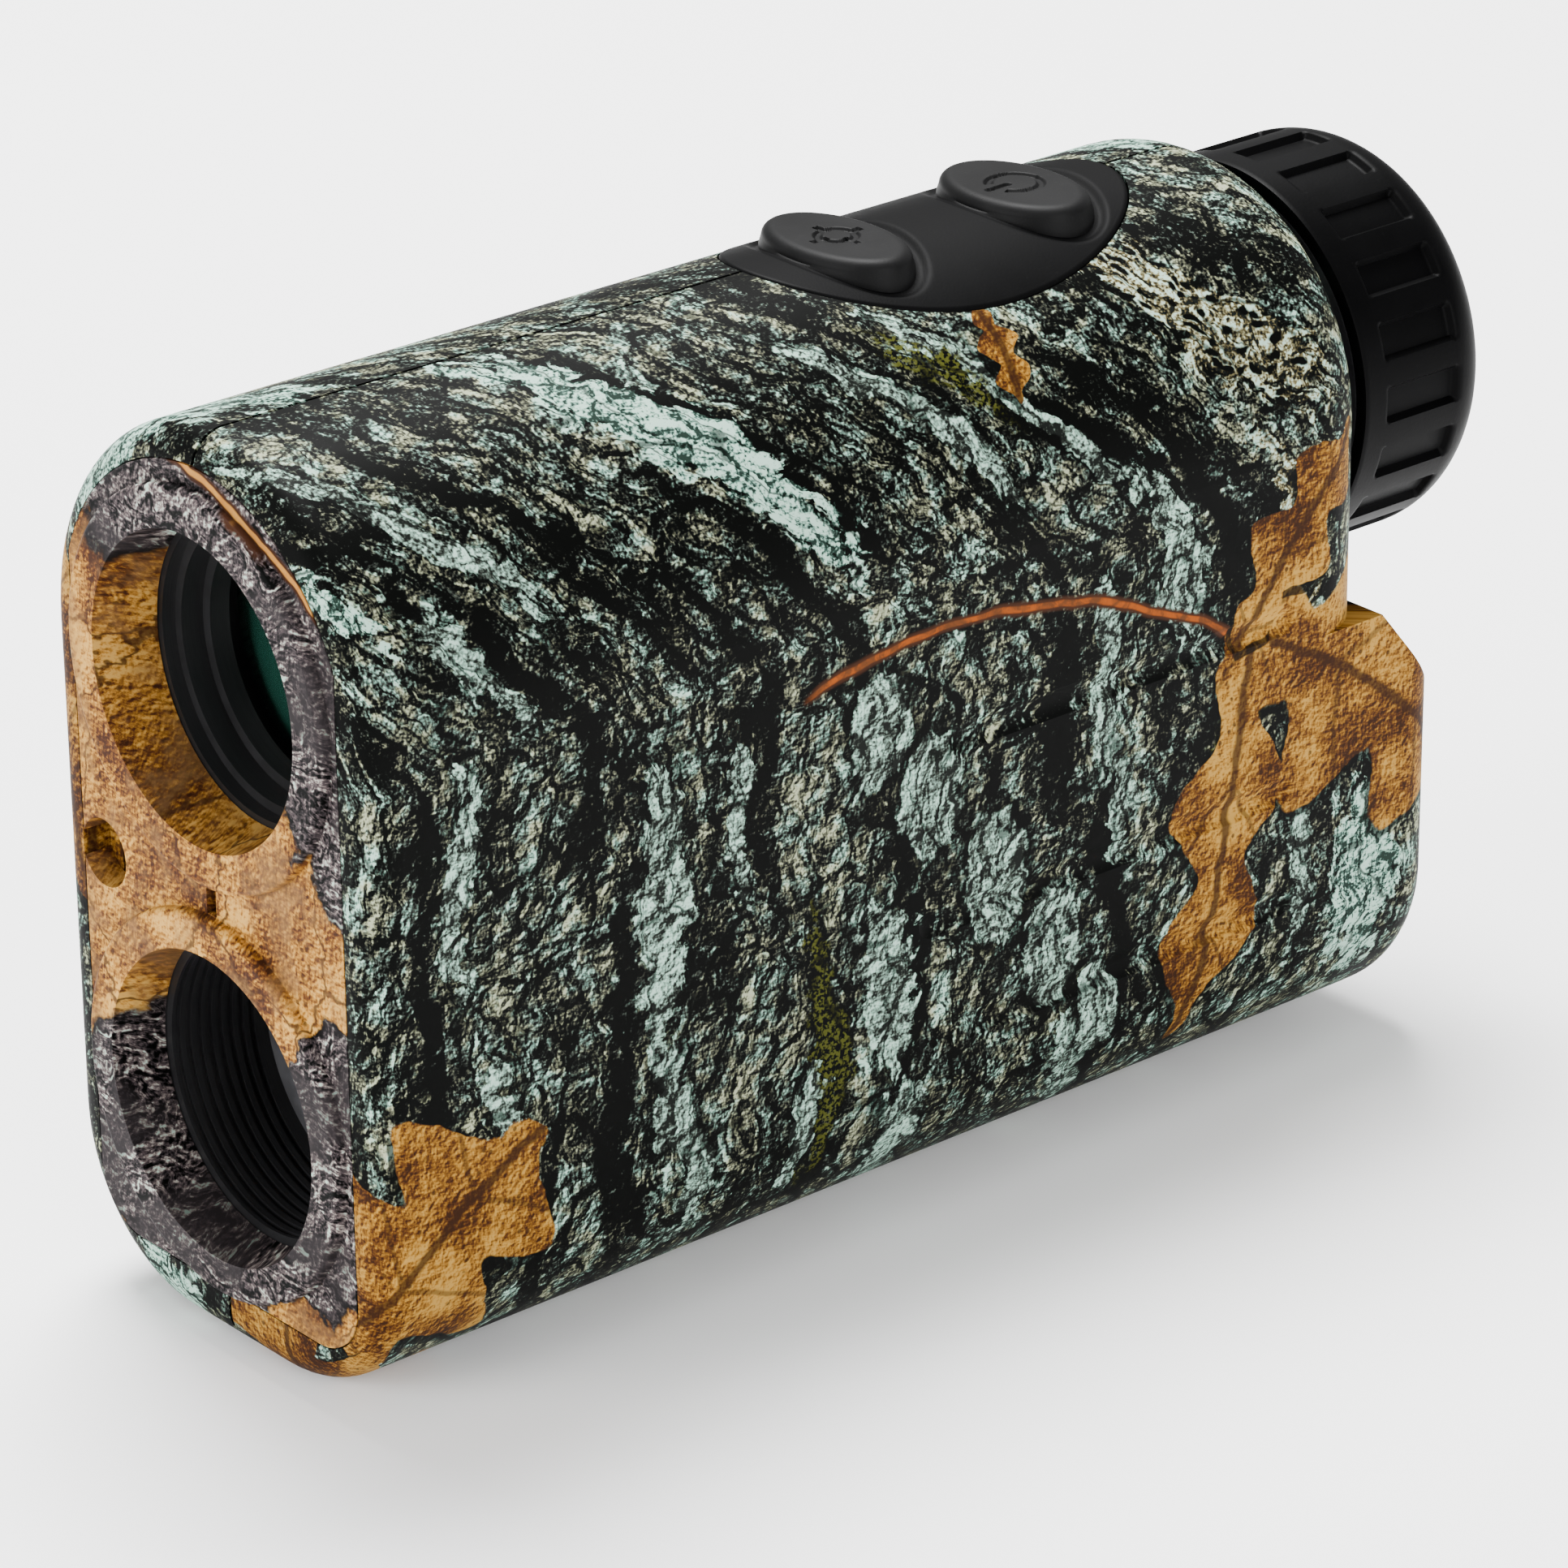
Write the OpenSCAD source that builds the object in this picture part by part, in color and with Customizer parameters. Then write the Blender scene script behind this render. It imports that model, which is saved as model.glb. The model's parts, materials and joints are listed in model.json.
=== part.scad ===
// Pocket laser rangefinder: a camouflaged clamshell body with a view lens above a
// receiver lens, two top buttons, a turning eyepiece and a hinged battery door.
// Millimetres. Origin at the middle of the footprint on the resting plane.
// The lenses look along -Y, the eyepiece along +Y, and +Z is up.

/* [Body] */
// Overall length from the front ring faces to the eyecup rim
overall_len = 120; // [118:1:124]
// Width across the flanks, twice the radius of the rounded crown
body_w = 40; // [40:0.5:43]
// Height from the resting plane to the crown of the shells
body_h = 75; // [75:0.5:78]
// Length of the eyepiece behind the rear wall
eyepiece_len = 15.8; // [15.6:0.1:16.4]
// Wall thickness of the two shells
wall = 2.2; // [2:0.1:2.4]
// Radius of the long bottom corners
bottom_corner_r = 14; // [13:0.5:15]
// Radius of the edge round the front face
front_edge_r = 3; // [2.5:0.5:3.5]
// Radius of the edge round the rear face
rear_edge_r = 7; // [6:0.5:8]

/* [Lenses] */
// Distance between the view axis and the receiver axis
lens_spacing = 34.3; // [34:0.1:34.6]
// Radius of the open bore in front of the view lens
view_bore_r = 12.5; // [12.3:0.1:12.6]
// Radius of the open bore in front of the receiver lens
receiver_bore_r = 12.7; // [12.5:0.1:12.8]
// Height of the two raised rings above the front panel
ring_rise = 1; // [0.6:0.1:1.2]

/* [Buttons] */
// Distance of the mode button behind the middle of the body
mode_y = 3; // [2:0.5:4]
// Distance of the power button behind the middle of the body
power_y = 21.7; // [21:0.1:23]
// Travel of each button
button_travel = 0.7; // [0.5:0.1:0.7]

/* [Battery bay] */
// Depth of the foot behind the rear wall
foot_depth = 7.8; // [7.5:0.1:8.2]
// Battery diameter
battery_d = 15.6; // [15:0.1:15.8]
// Battery length without its terminal
battery_len = 27; // [26.5:0.1:27]

/* [Hidden] */
$fn = 96;

eps = 0.01;
slide_gap = 0.08;
front_y = -overall_len / 2;
rear_y = overall_len / 2;
panel_y = front_y + ring_rise;
wall_y = rear_y - eyepiece_len;
foot_y = wall_y + foot_depth;
flank_x = body_w / 2;
view_z = body_h - flank_x;
receiver_z = view_z - lens_spacing;

// Inner ribs of the shells, and the clear ways cut through them for the barrels
front_rib_y = -34;
rear_rib_y = 26;
rib_t = 1.6;
fit_gap = 0.1;
optics_end_y = -20;
tray_cut_y = 20;

// Foot and grip
foot_top_z = 38.5;
foot_chamfer_z = 29;
foot_round_r = 13;
foot_edge_r = 4.5;
seam_w = 0.3;
seam_depth = 0.35;
grip_y = -5;
grip_len = 38;
grip_bar_h = 2.4;
grip_depth = 0.3;
grip_rows = [41, 26, 16];

// Front panel
panel_half_w = 16.4;
panel_top_r = 17.5;
panel_bottom_z = 4.9;
panel_corner_r = 5;
panel_t = 2.4;
front_wall = 4;
ledge = 1.3;
panel_gap = 0.12;
vent_w = 1.2;
vent_depth = 1.4;
ring_r = 15.8;
collar_r = 14.6;
view_collar_len = 6;
receiver_collar_len = 5;

// Strap eyelet
strap_x = -13.8;
strap_z = 37;
strap_hole_r = 2.8;
strap_bar_t = 3.6;
strap_lip_x = -14.9;
strap_slot_w = 4.2;
strap_slot_h = 11;
strap_liner_t = 0.8;

// Case screws: distance along the body and height of each
screw_spots = [[-46, 37.4], [-20, 37.4], [-12, 14.5], [30.5, 34.5]];
boss_r = 2.4;
screw_r = 0.95;
screw_head_r = 1.9;
screw_head_h = 1.4;
screw_sink = 0.6;
cross_depth = 0.8;
screw_tip_x = 8;

// Button pad and keys
pad_y = 11.3;
pad_half_w = 11.5;
pad_front_len = 17.9;
pad_rear_len = 20;
pad_t = 1.2;
pad_rise = 0.1;
mode_half = [7.7, 4.7];
power_half = [7.6, 5];
button_top_z = view_z + flank_x + 0.7;
button_gap = 0.3;
sign_depth = 0.3;
trench_w = 0.9;
trench_depth = 0.6;
stem_r = 1.6;
stem_gap = 0.6;
stem_end_z = view_z + 15.3;
key_board_z = view_z + 10.6;
key_board_t = 1;
key_board_half_w = 6.5;
switch_w = 6;
switch_h = 2;
plunger_h = 0.7;
plunger_r = 1.5;

// View optics along the upper axis
objective_y = front_y + view_collar_len + 0.1;
objective_len = 37;
holder_y = objective_y + objective_len;
holder_len = 39;
holder_half_w = 11.5;
holder_floor_z = view_z - 13;
holder_wall = 1.6;
prism_half_w = 9.8;
objective_r = 12.9;
lens_ring_len = 5;
lens_seat_len = 11.5;
// Steps in the lens ring: width of each, and how far it reaches from the front
lens_ring_steps = [[0.9, 1.2], [1.7, 3.2], [2.6, 6]];
light_hole_r = 8.5;

// Receiver optics along the lower axis
receiver_y = front_y + receiver_collar_len + 0.1;
receiver_len = 27;
receiver_out_r = 13.8;
receiver_r = 12;
baffle_count = 8;
baffle_pitch = 1;
receiver_seat_y = receiver_y + baffle_count * baffle_pitch + 1;
receiver_ring_len = 2.2;

// Eyepiece
barrel_y = holder_y + holder_len;
barrel_neck_r = 10.4;
barrel_neck_end = 31;
barrel_r = 14;
barrel_in_r = 11.6;
barrel_end_y = rear_y - 7;
cell_r = barrel_in_r - slide_gap;
cell_y = wall_y - 4;
cell_len = 10;
cell_travel = 1.2;
drive_pin_r = 0.8;
drive_pin_y = wall_y + 2.8;
ring_in_r = barrel_r + slide_gap;
ring_out_r = 15.8;
ring_y = wall_y + 0.5;
eyecup_r = 17;
eyecup_rim_r = 4.5;
eyecup_in_r = 13;
grip_count = 20;
grip_pocket = [3, 8, 0.55];

// Battery bay and door
battery_z = 17;
tray_in_r = battery_d / 2 + 0.25;
tray_out_r = tray_in_r + 1.25;
battery_end_y = foot_y - 3.7;
battery_y = battery_end_y - battery_len;
spring_len = 3.2;
tray_y = battery_y - spring_len - 1.9;
tray_end_y = foot_y - 3.6;
door_half_w = 12.5;
door_low_z = 6.5;
door_top_z = 27.5;
door_corner_r = 3;
door_in_y = foot_y - 2.6;
door_gap = 0.15;
hinge_x = -door_half_w - 1.6;
hinge_y = foot_y - 0.4;
hinge_web = 0.9;
hinge_gap = 0.3;
knuckle_r = 1.3;
pin_r = 0.5;
knuckle_low_z = 10.2;
knuckle_top_z = 23.8;
lug_h = 2;
nail_r = 3.2;
nail_depth = 1;
nail_z = 19;

// Main board
board_x = 13.2;
board_t = 1;
board_y = [-26, 12];
board_z = [19, 47];
board_screw_spots = [[-23, 23], [8.5, 43.5]];

// ---- helpers ----

// Puts a shape drawn round +Z onto a line along +Y at height z
module along_y(z, y = 0) {
    translate([0, y, z])
        rotate([-90, 0, 0])
            children();
}

// Rod along +Y
module rod_y(r, y0, y1, z) {
    along_y(z, y0)
        cylinder(r = r, h = y1 - y0);
}

// Rod along +X
module rod_x(r, x0, x1, y, z) {
    translate([x0, y, z])
        rotate([0, 90, 0])
            cylinder(r = r, h = x1 - x0);
}

// Tube along +Y
module tube_y(r_out, r_in, y0, y1, z) {
    difference() {
        rod_y(r_out, y0, y1, z);
        rod_y(r_in, y0 - eps, y1 + eps, z);
    }
}

// Box from its lowest to its highest corner
module block(low, high) {
    translate(low)
        cube(high - low);
}

// Outline in X and Z pushed along +Y
module push_y(y0, y1) {
    translate([0, y1, 0])
        rotate([90, 0, 0])
            linear_extrude(y1 - y0)
                children();
}

// Outline in Y and Z pushed along X, centred on x = 0
module push_x(half_w) {
    translate([-half_w, 0, 0])
        rotate([90, 0, 90])
            linear_extrude(2 * half_w)
                children();
}

// Oval with separate lengths ahead of and behind its widest line
function oval(half_w, ahead, behind, steps = 72) = [
    for (i = [0 : steps - 1])
        let (a = 360 * i / steps)
            [half_w * cos(a), (sin(a) < 0 ? ahead : behind) * sin(a)]
];

module oval_post(half_w, ahead, behind, y, z0, z1) {
    translate([0, y, z0])
        linear_extrude(z1 - z0)
            polygon(oval(half_w, ahead, behind));
}

// ---- body form ----

// Strip of width r beside an axis, with rounded far corners, from y0 to y1
module edge_strip(r, y0, y1, front_r, back_r) {
    translate([0, y0 + front_r])
        square([r, y1 - y0 - front_r - back_r]);
    translate([0, y0])
        square([r - front_r, front_r + eps]);
    translate([r - front_r, y0 + front_r])
        circle(front_r);
    translate([0, y1 - back_r - eps])
        square([r - back_r, back_r + eps]);
    translate([r - back_r, y1 - back_r])
        circle(back_r);
}

// Turned solid with the rounded edges of the body
module turned(r, x, z, y0, y1, front_r, back_r) {
    translate([x, 0, z])
        rotate([-90, 0, 0])
            rotate_extrude()
                edge_strip(r, y0, y1, front_r, back_r);
}

// Rounded block whose section is a stadium crown over softened bottom corners
module rounded_body(inset, y0, y1, front_r, back_r) {
    half_w = flank_x - inset;
    corner = bottom_corner_r - inset;
    corner_x = flank_x - bottom_corner_r;
    turned(half_w, 0, view_z, y0, y1, front_r, back_r);
    for (side = [-1, 1]) {
        turned(corner, side * corner_x, bottom_corner_r, y0, y1, front_r, back_r);
        translate([0, 0, bottom_corner_r])
            linear_extrude(view_z - bottom_corner_r)
                mirror([side < 0 ? 1 : 0, 0])
                    edge_strip(half_w, y0, y1, front_r, back_r);
    }
    translate([-corner_x, 0, bottom_corner_r])
        rotate([0, 90, 0])
            linear_extrude(2 * corner_x)
                edge_strip(corner, y0, y1, front_r, back_r);
}

// Side outline of the foot under the eyepiece
module foot_outline(inset) {
    back = foot_y - inset;
    low = inset;
    round_r = foot_round_r - inset;
    top_shift = inset * 0.6;
    difference() {
        polygon([[0, low], [back, low], [back, foot_chamfer_z - top_shift],
            [wall_y - inset, foot_top_z - inset], [0, foot_top_z - inset]]);
        translate([back - round_r, low - eps])
            square([round_r + eps, round_r + eps]);
    }
    translate([back - round_r, low + round_r])
        circle(round_r);
}

// Whole outer form, or the cavity inside it when inset is the wall
module body_form(inset = 0) {
    y0 = panel_y + (inset > seam_depth ? front_wall : inset);
    front_r = max(front_edge_r - inset, 0.8);
    rounded_body(inset, y0, wall_y - inset, front_r, rear_edge_r - inset);
    intersection() {
        rounded_body(inset, y0, foot_y - inset, front_r, foot_edge_r - inset);
        push_x(body_w)
            foot_outline(inset);
    }
}

// Outline of the front panel, drawn in X and Z
module panel_outline(inset = 0) {
    half_w = panel_half_w - inset;
    low = panel_bottom_z + inset;
    corner = panel_corner_r - inset;
    intersection() {
        translate([-half_w, low])
            square([2 * half_w, view_z + panel_top_r]);
        union() {
            translate([0, view_z])
                circle(panel_top_r - inset);
            translate([-half_w, low + corner])
                square([2 * half_w, view_z - low - corner]);
            translate([-half_w + corner, low])
                square([2 * (half_w - corner), 2 * corner]);
            for (side = [-1, 1])
                translate([side * (half_w - corner), low + corner])
                    circle(corner);
        }
    }
}

// ---- shells ----

// Shallow scooped bars in both flanks, with rounded ends
module grip_bars() {
    scoop_r = (pow(grip_bar_h / 2, 2) + pow(grip_depth, 2)) / (2 * grip_depth);
    scoop_x = flank_x + scoop_r - grip_depth;
    for (side = [-1, 1], z = grip_rows)
        translate([side * scoop_x, 0, z]) {
            rod_y(scoop_r, grip_y, grip_y + grip_len, 0);
            for (y = [grip_y, grip_y + grip_len])
                translate([0, y, 0])
                    sphere(scoop_r);
        }
}

module front_opening() {
    push_y(panel_y - eps, panel_y + panel_t + 0.05)
        panel_outline(-panel_gap);
    push_y(panel_y, panel_y + front_wall + 1)
        panel_outline(ledge);
}

module pad_recess() {
    intersection() {
        oval_post(pad_half_w + panel_gap, pad_front_len + panel_gap, pad_rear_len + panel_gap,
            pad_y, view_z, body_h + 1);
        tube_y(flank_x + 1, flank_x + pad_rise - pad_t - 0.05, front_y, rear_y, view_z);
    }
    for (y = [mode_y, power_y])
        translate([0, y, view_z])
            cylinder(r = stem_r + stem_gap, h = flank_x);
}

module door_outline(gap) {
    half_w = door_half_w + gap;
    corner = door_corner_r + gap;
    low = door_low_z - gap;
    high = door_top_z + gap;
    translate([-half_w, low + corner])
        square([2 * half_w, high - low - 2 * corner]);
    translate([corner - half_w, low])
        square([2 * (half_w - corner), high - low]);
    for (side = [-1, 1], z = [low + corner, high - corner])
        translate([side * (half_w - corner), z])
            circle(corner);
}

module upright(r, z0, z1) {
    translate([hinge_x, hinge_y, z0])
        cylinder(r = r, h = z1 - z0);
}

module hinge_recess() {
    low_z = knuckle_low_z - hinge_gap;
    high_z = knuckle_top_z + hinge_gap;
    upright(knuckle_r + hinge_gap, low_z, high_z);
    block([hinge_x, hinge_y - hinge_web - hinge_gap, low_z], [-door_half_w, foot_y + 1, high_z]);
}

module hinge_lugs() {
    upright(knuckle_r, knuckle_low_z - hinge_gap - lug_h, knuckle_low_z - hinge_gap);
    upright(knuckle_r, knuckle_top_z + hinge_gap, knuckle_top_z + hinge_gap + lug_h);
}

// Notch for the strap in the front left edge, widened inside for the lined pocket
module strap_notch() {
    liner_h = strap_slot_h / 2 + strap_liner_t + 0.05;
    block([-flank_x - 1, front_y, strap_z - strap_slot_h / 2],
        [strap_x, panel_y + strap_bar_t + strap_slot_w, strap_z + strap_slot_h / 2]);
    block([-flank_x + wall, panel_y + panel_t, strap_z - liner_h],
        [strap_x + strap_hole_r + strap_liner_t + 0.4, panel_y + front_wall + 1, strap_z + liner_h]);
}

module shell_ribs() {
    intersection() {
        body_form(wall - 0.1);
        union() {
            block([-flank_x, front_rib_y, 0], [flank_x, front_rib_y + rib_t, body_h]);
            block([-flank_x, rear_rib_y, 0], [flank_x, rear_rib_y + rib_t, view_z - barrel_r - 1]);
        }
    }
}

module shell_bosses() {
    for (s = screw_spots)
        rod_x(boss_r, -flank_x + wall / 2, flank_x - wall / 2, s[0], s[1]);
}

module shell_body() {
    difference() {
        union() {
            difference() {
                body_form();
                body_form(wall);
            }
            shell_ribs();
            shell_bosses();
        }
        front_opening();
        pad_recess();
        grip_bars();
        push_y(door_in_y - 2 * wall, foot_y + 1)
            door_outline(door_gap);
        rod_y(barrel_r, wall_y - 2 * wall, wall_y + 1, view_z);
        rod_y(collar_r + fit_gap, panel_y, optics_end_y, view_z);
        rod_y(receiver_out_r + fit_gap, panel_y, optics_end_y, receiver_z);
        rod_y(tray_out_r + fit_gap, tray_cut_y, tray_end_y, battery_z);
        difference() {
            block([-seam_w / 2, front_y, -1], [seam_w / 2, rear_y, body_h + 1]);
            body_form(seam_depth);
        }
    }
}

module left_shell() {
    color("darkolivegreen")
        difference() {
            union() {
                intersection() {
                    shell_body();
                    block([-body_w, front_y, -1], [0, rear_y, body_h + 1]);
                }
                hinge_lugs();
            }
            strap_notch();
            hinge_recess();
            upright(pin_r, knuckle_low_z - lug_h, knuckle_top_z + lug_h);
            for (s = screw_spots) {
                rod_x(screw_r + 0.15, -flank_x, eps, s[0], s[1]);
                rod_x(screw_head_r + 0.15, -flank_x - 1, -flank_x + screw_sink + screw_head_h, s[0], s[1]);
            }
        }
}

module right_shell() {
    color("darkolivegreen")
        difference() {
            intersection() {
                shell_body();
                block([0, front_y, -1], [body_w, rear_y, body_h + 1]);
            }
            translate([door_half_w + 0.5, foot_y + nail_r - nail_depth, nail_z])
                sphere(nail_r);
            for (s = screw_spots)
                rod_x(screw_r, -eps, screw_tip_x + 1, s[0], s[1]);
        }
    color("darkolivegreen")
        for (s = board_screw_spots)
            difference() {
                rod_x(2, board_x + board_t, flank_x - wall / 2, s[0], s[1]);
                rod_x(0.8, board_x, flank_x - wall, s[0], s[1]);
            }
}

// ---- front ----

// Raised ring with a softened outer edge, closed by its bore later
module raised_ring(z) {
    edge = 0.5;
    along_y(z, front_y)
        rotate_extrude() {
            square([ring_r - edge, ring_rise + eps]);
            translate([0, edge])
                square([ring_r, ring_rise - edge + eps]);
            translate([ring_r - edge, edge])
                circle(edge);
        }
}

module front_fascia() {
    color("peru")
        difference() {
            union() {
                push_y(panel_y, panel_y + panel_t)
                    panel_outline();
                raised_ring(view_z);
                raised_ring(receiver_z);
                rod_y(collar_r, panel_y, front_y + view_collar_len, view_z);
                rod_y(receiver_out_r, panel_y, front_y + receiver_collar_len, receiver_z);
            }
            rod_y(view_bore_r, front_y - 1, front_y + view_collar_len + 1, view_z);
            rod_y(receiver_bore_r, front_y - 1, front_y + receiver_collar_len + 1, receiver_z);
            translate([strap_x, 0, 0])
                rod_y(strap_hole_r, front_y, panel_y + panel_t + 1, strap_z);
            block([-vent_w / 2, front_y, receiver_z + ring_r + 0.1],
                [vent_w / 2, panel_y + vent_depth, view_z - ring_r - 0.4]);
        }
}

// Outline of the bar seen from above, with a lip behind the front panel
module strap_bar_outline() {
    lip_y = panel_y + panel_t + 0.05;
    translate([-flank_x, panel_y])
        square([flank_x - panel_half_w - panel_gap, strap_bar_t]);
    translate([-flank_x, lip_y])
        square([flank_x + strap_lip_x, panel_y + strap_bar_t - lip_y]);
}

// Bar that closes the notch in front, with the rounded edge of the body
module strap_bar() {
    color("darkolivegreen")
        translate([0, 0, strap_z - strap_slot_h / 2])
            linear_extrude(strap_slot_h)
                intersection() {
                    mirror([1, 0])
                        edge_strip(flank_x, panel_y, wall_y, front_edge_r, rear_edge_r);
                    strap_bar_outline();
                }
}

module strap_pocket() {
    half_h = strap_slot_h / 2;
    back_y = panel_y + strap_bar_t + strap_slot_w;
    front = panel_y + panel_t + 0.1;
    end_x = strap_x + strap_hole_r + 0.3;
    color("dimgray")
        difference() {
            block([-flank_x + wall + 0.05, front, strap_z - half_h - strap_liner_t],
                [end_x + strap_liner_t, back_y + strap_liner_t, strap_z + half_h + strap_liner_t]);
            block([-flank_x, front - 1, strap_z - half_h], [end_x, back_y, strap_z + half_h]);
        }
}

module case_screws() {
    head_x = -flank_x + screw_sink;
    cross = [2.2, 0.5];
    color("dimgray")
        for (s = screw_spots)
            difference() {
                union() {
                    rod_x(screw_head_r, head_x, head_x + screw_head_h, s[0], s[1]);
                    rod_x(screw_r, head_x, screw_tip_x, s[0], s[1]);
                }
                for (arm = [cross, [cross[1], cross[0]]])
                    translate([head_x, s[0], s[1]])
                        cube([2 * cross_depth, arm[0], arm[1]], center = true);
            }
}

// ---- keys ----

module button_pad() {
    color("black")
        difference() {
            intersection() {
                oval_post(pad_half_w, pad_front_len, pad_rear_len, pad_y, view_z, body_h + 1);
                tube_y(flank_x + pad_rise, flank_x + pad_rise - pad_t, front_y, rear_y, view_z);
            }
            button_hole(mode_half, mode_y);
            button_hole(power_half, power_y);
        }
}

// Hole for one button, with a shallow trench round its mouth
module button_hole(half, y) {
    oval_post(half[0] + button_gap, half[1] + button_gap, half[1] + button_gap,
        y, view_z, body_h + 1);
    difference() {
        oval_post(half[0] + trench_w, half[1] + trench_w, half[1] + trench_w,
            y, view_z, body_h + 1);
        rod_y(flank_x + pad_rise - trench_depth, front_y, rear_y, view_z);
    }
}

// Oval cap over a saddle underside, with a stem down to its switch
module button(half, y) {
    edge = 0.5;
    difference() {
        union() {
            oval_post(half[0], half[1], half[1], y, view_z + 14, button_top_z - edge);
            oval_post(half[0] - edge, half[1] - edge, half[1] - edge, y, view_z + 14, button_top_z);
        }
        rod_y(flank_x + pad_rise - pad_t, front_y, rear_y, view_z + button_travel + 0.15);
    }
    translate([0, y, stem_end_z])
        cylinder(r = stem_r, h = view_z + flank_x - stem_end_z);
}

module mode_button() {
    color("black")
        difference() {
            button(mode_half, mode_y);
            translate([0, mode_y, button_top_z - sign_depth])
                aim_mark();
        }
}

// Plain aiming mark: a ring with four ticks
module aim_mark() {
    difference() {
        cylinder(r = 1.75, h = 1);
        translate([0, 0, -eps])
            cylinder(r = 1.25, h = 1.1);
    }
    for (turn = [0 : 90 : 270])
        rotate([0, 0, turn])
            block([-0.25, 1, 0], [0.25, 2.5, 1]);
}

module power_button() {
    color("black")
        difference() {
            button(power_half, power_y);
            translate([0, power_y, button_top_z - sign_depth])
                rotate([0, 0, 180])
                    power_mark();
        }
}

// Broken ring with a bar through its gap, the usual power symbol
module power_mark() {
    difference() {
        cylinder(r = 2.3, h = 1);
        translate([0, 0, -eps])
            cylinder(r = 1.75, h = 1.1);
        block([-0.9, 0, -1], [0.9, 3, 2]);
    }
    block([-0.28, 0.7, 0], [0.28, 2.8, 1]);
}

module key_board() {
    color("darkgreen")
        block([-key_board_half_w, mode_y - 12, key_board_z],
            [key_board_half_w, power_y + 9, key_board_z + key_board_t]);
}

module key_switches() {
    base = key_board_z + key_board_t;
    color("silver")
        for (y = [mode_y, power_y]) {
            translate([-switch_w / 2, y - switch_w / 2, base])
                cube([switch_w, switch_w, switch_h]);
            translate([0, y, base + switch_h])
                cylinder(r = plunger_r, h = plunger_h);
        }
}

// ---- view optics ----

// Lens with spherical faces of radius curve, its front vertex at y
module lens(r, edge_t, curve, y, z) {
    sag = curve - sqrt(curve * curve - r * r);
    thick = edge_t + 2 * sag;
    along_y(z, y)
        rotate_extrude()
            intersection() {
                square([r, thick]);
                translate([0, curve])
                    circle(curve, $fn = 720);
                translate([0, thick - curve])
                    circle(curve, $fn = 720);
            }
}

module objective_ring() {
    color("black")
        difference() {
            rod_y(objective_r, objective_y, objective_y + lens_ring_len, view_z);
            for (step = lens_ring_steps)
                rod_y(objective_r - step[0], objective_y - 1, objective_y + step[1], view_z);
        }
}

module objective_barrel() {
    seat = objective_y + lens_seat_len;
    color("black")
        difference() {
            union() {
                rod_y(collar_r, objective_y, seat + 4, view_z);
                rod_y(collar_r - 1.2, objective_y, holder_y, view_z);
            }
            rod_y(objective_r, objective_y - 1, seat, view_z);
            rod_y(objective_r - 1, objective_y, seat + 6, view_z);
            rod_y(objective_r - 2.4, objective_y, seat + 14, view_z);
            rod_y(light_hole_r, objective_y, holder_y + 1, view_z);
        }
}

module objective_lens() {
    color("darkgreen", 0.6)
        lens(objective_r, 3.2, 52, objective_y + lens_ring_len + 1, view_z);
}

module prism_holder() {
    top = key_board_z;
    inner = holder_half_w - holder_wall;
    color("dimgray")
        difference() {
            block([-holder_half_w, holder_y, holder_floor_z], [holder_half_w, barrel_y, top]);
            block([-inner, holder_y + holder_wall, holder_floor_z + holder_wall],
                [inner, barrel_y - holder_wall, top + 1]);
            rod_y(light_hole_r, holder_y - 1, barrel_y + 1, view_z);
        }
}

module front_prism() {
    y0 = holder_y + 3;
    low = holder_floor_z + holder_wall;
    color("lightblue", 0.5)
        push_x(prism_half_w)
            polygon([[y0, low + 2], [y0, low + 20], [y0 + 7, low + 20], [y0 + 15, low + 9],
                [y0 + 15, low + 2], [y0 + 11, low], [y0 + 3, low]]);
}

module rear_prism() {
    y0 = holder_y + 19;
    low = holder_floor_z + holder_wall;
    color("lightblue", 0.5)
        push_x(prism_half_w)
            polygon([[y0, low], [y0, low + 8], [y0 + 3, low + 20], [y0 + 12, low + 20],
                [y0 + 12, low]]);
}

module display_glass() {
    y0 = barrel_y - holder_wall - 1.4;
    color("silver", 0.6)
        block([-8, y0, view_z - 8], [8, y0 + 1.1, view_z + 8]);
}

module laser_module() {
    y0 = holder_y + 6;
    z = holder_floor_z - 6;
    color("goldenrod")
        union() {
            rod_y(4.4, y0, y0 + 17, z);
            block([-3, y0 + 3, z], [3, y0 + 14, holder_floor_z]);
        }
}

// ---- receiver ----

module receiver_ring() {
    color("gray")
        tube_y(receiver_r, receiver_r - 2.4, receiver_seat_y,
            receiver_seat_y + receiver_ring_len, receiver_z);
}

module receiver_barrel() {
    lens_end = receiver_seat_y + 9;
    color("black")
        difference() {
            union() {
                rod_y(receiver_out_r, receiver_y, lens_end + 2, receiver_z);
                rod_y(10, receiver_y, receiver_y + receiver_len, receiver_z);
            }
            rod_y(receiver_r, receiver_y - 1, lens_end, receiver_z);
            rod_y(8.6, receiver_y, receiver_y + receiver_len - 2, receiver_z);
            rod_y(5, receiver_y, receiver_y + receiver_len + 1, receiver_z);
            for (i = [0 : baffle_count - 1])
                rod_y(receiver_r + 0.4, receiver_y + 0.3 + i * baffle_pitch,
                    receiver_y + 0.8 + i * baffle_pitch, receiver_z);
        }
}

module receiver_lens() {
    color("darkslategray", 0.6)
        lens(receiver_r, 2.6, 45, receiver_seat_y + receiver_ring_len, receiver_z);
}

module detector_module() {
    y0 = receiver_y + receiver_len;
    color("gold")
        union() {
            rod_y(4.9, y0 - 1.5, y0 + 4, receiver_z);
            rod_y(9, y0 + 4, y0 + 5.2, receiver_z);
        }
}

// ---- electronics ----

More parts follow.
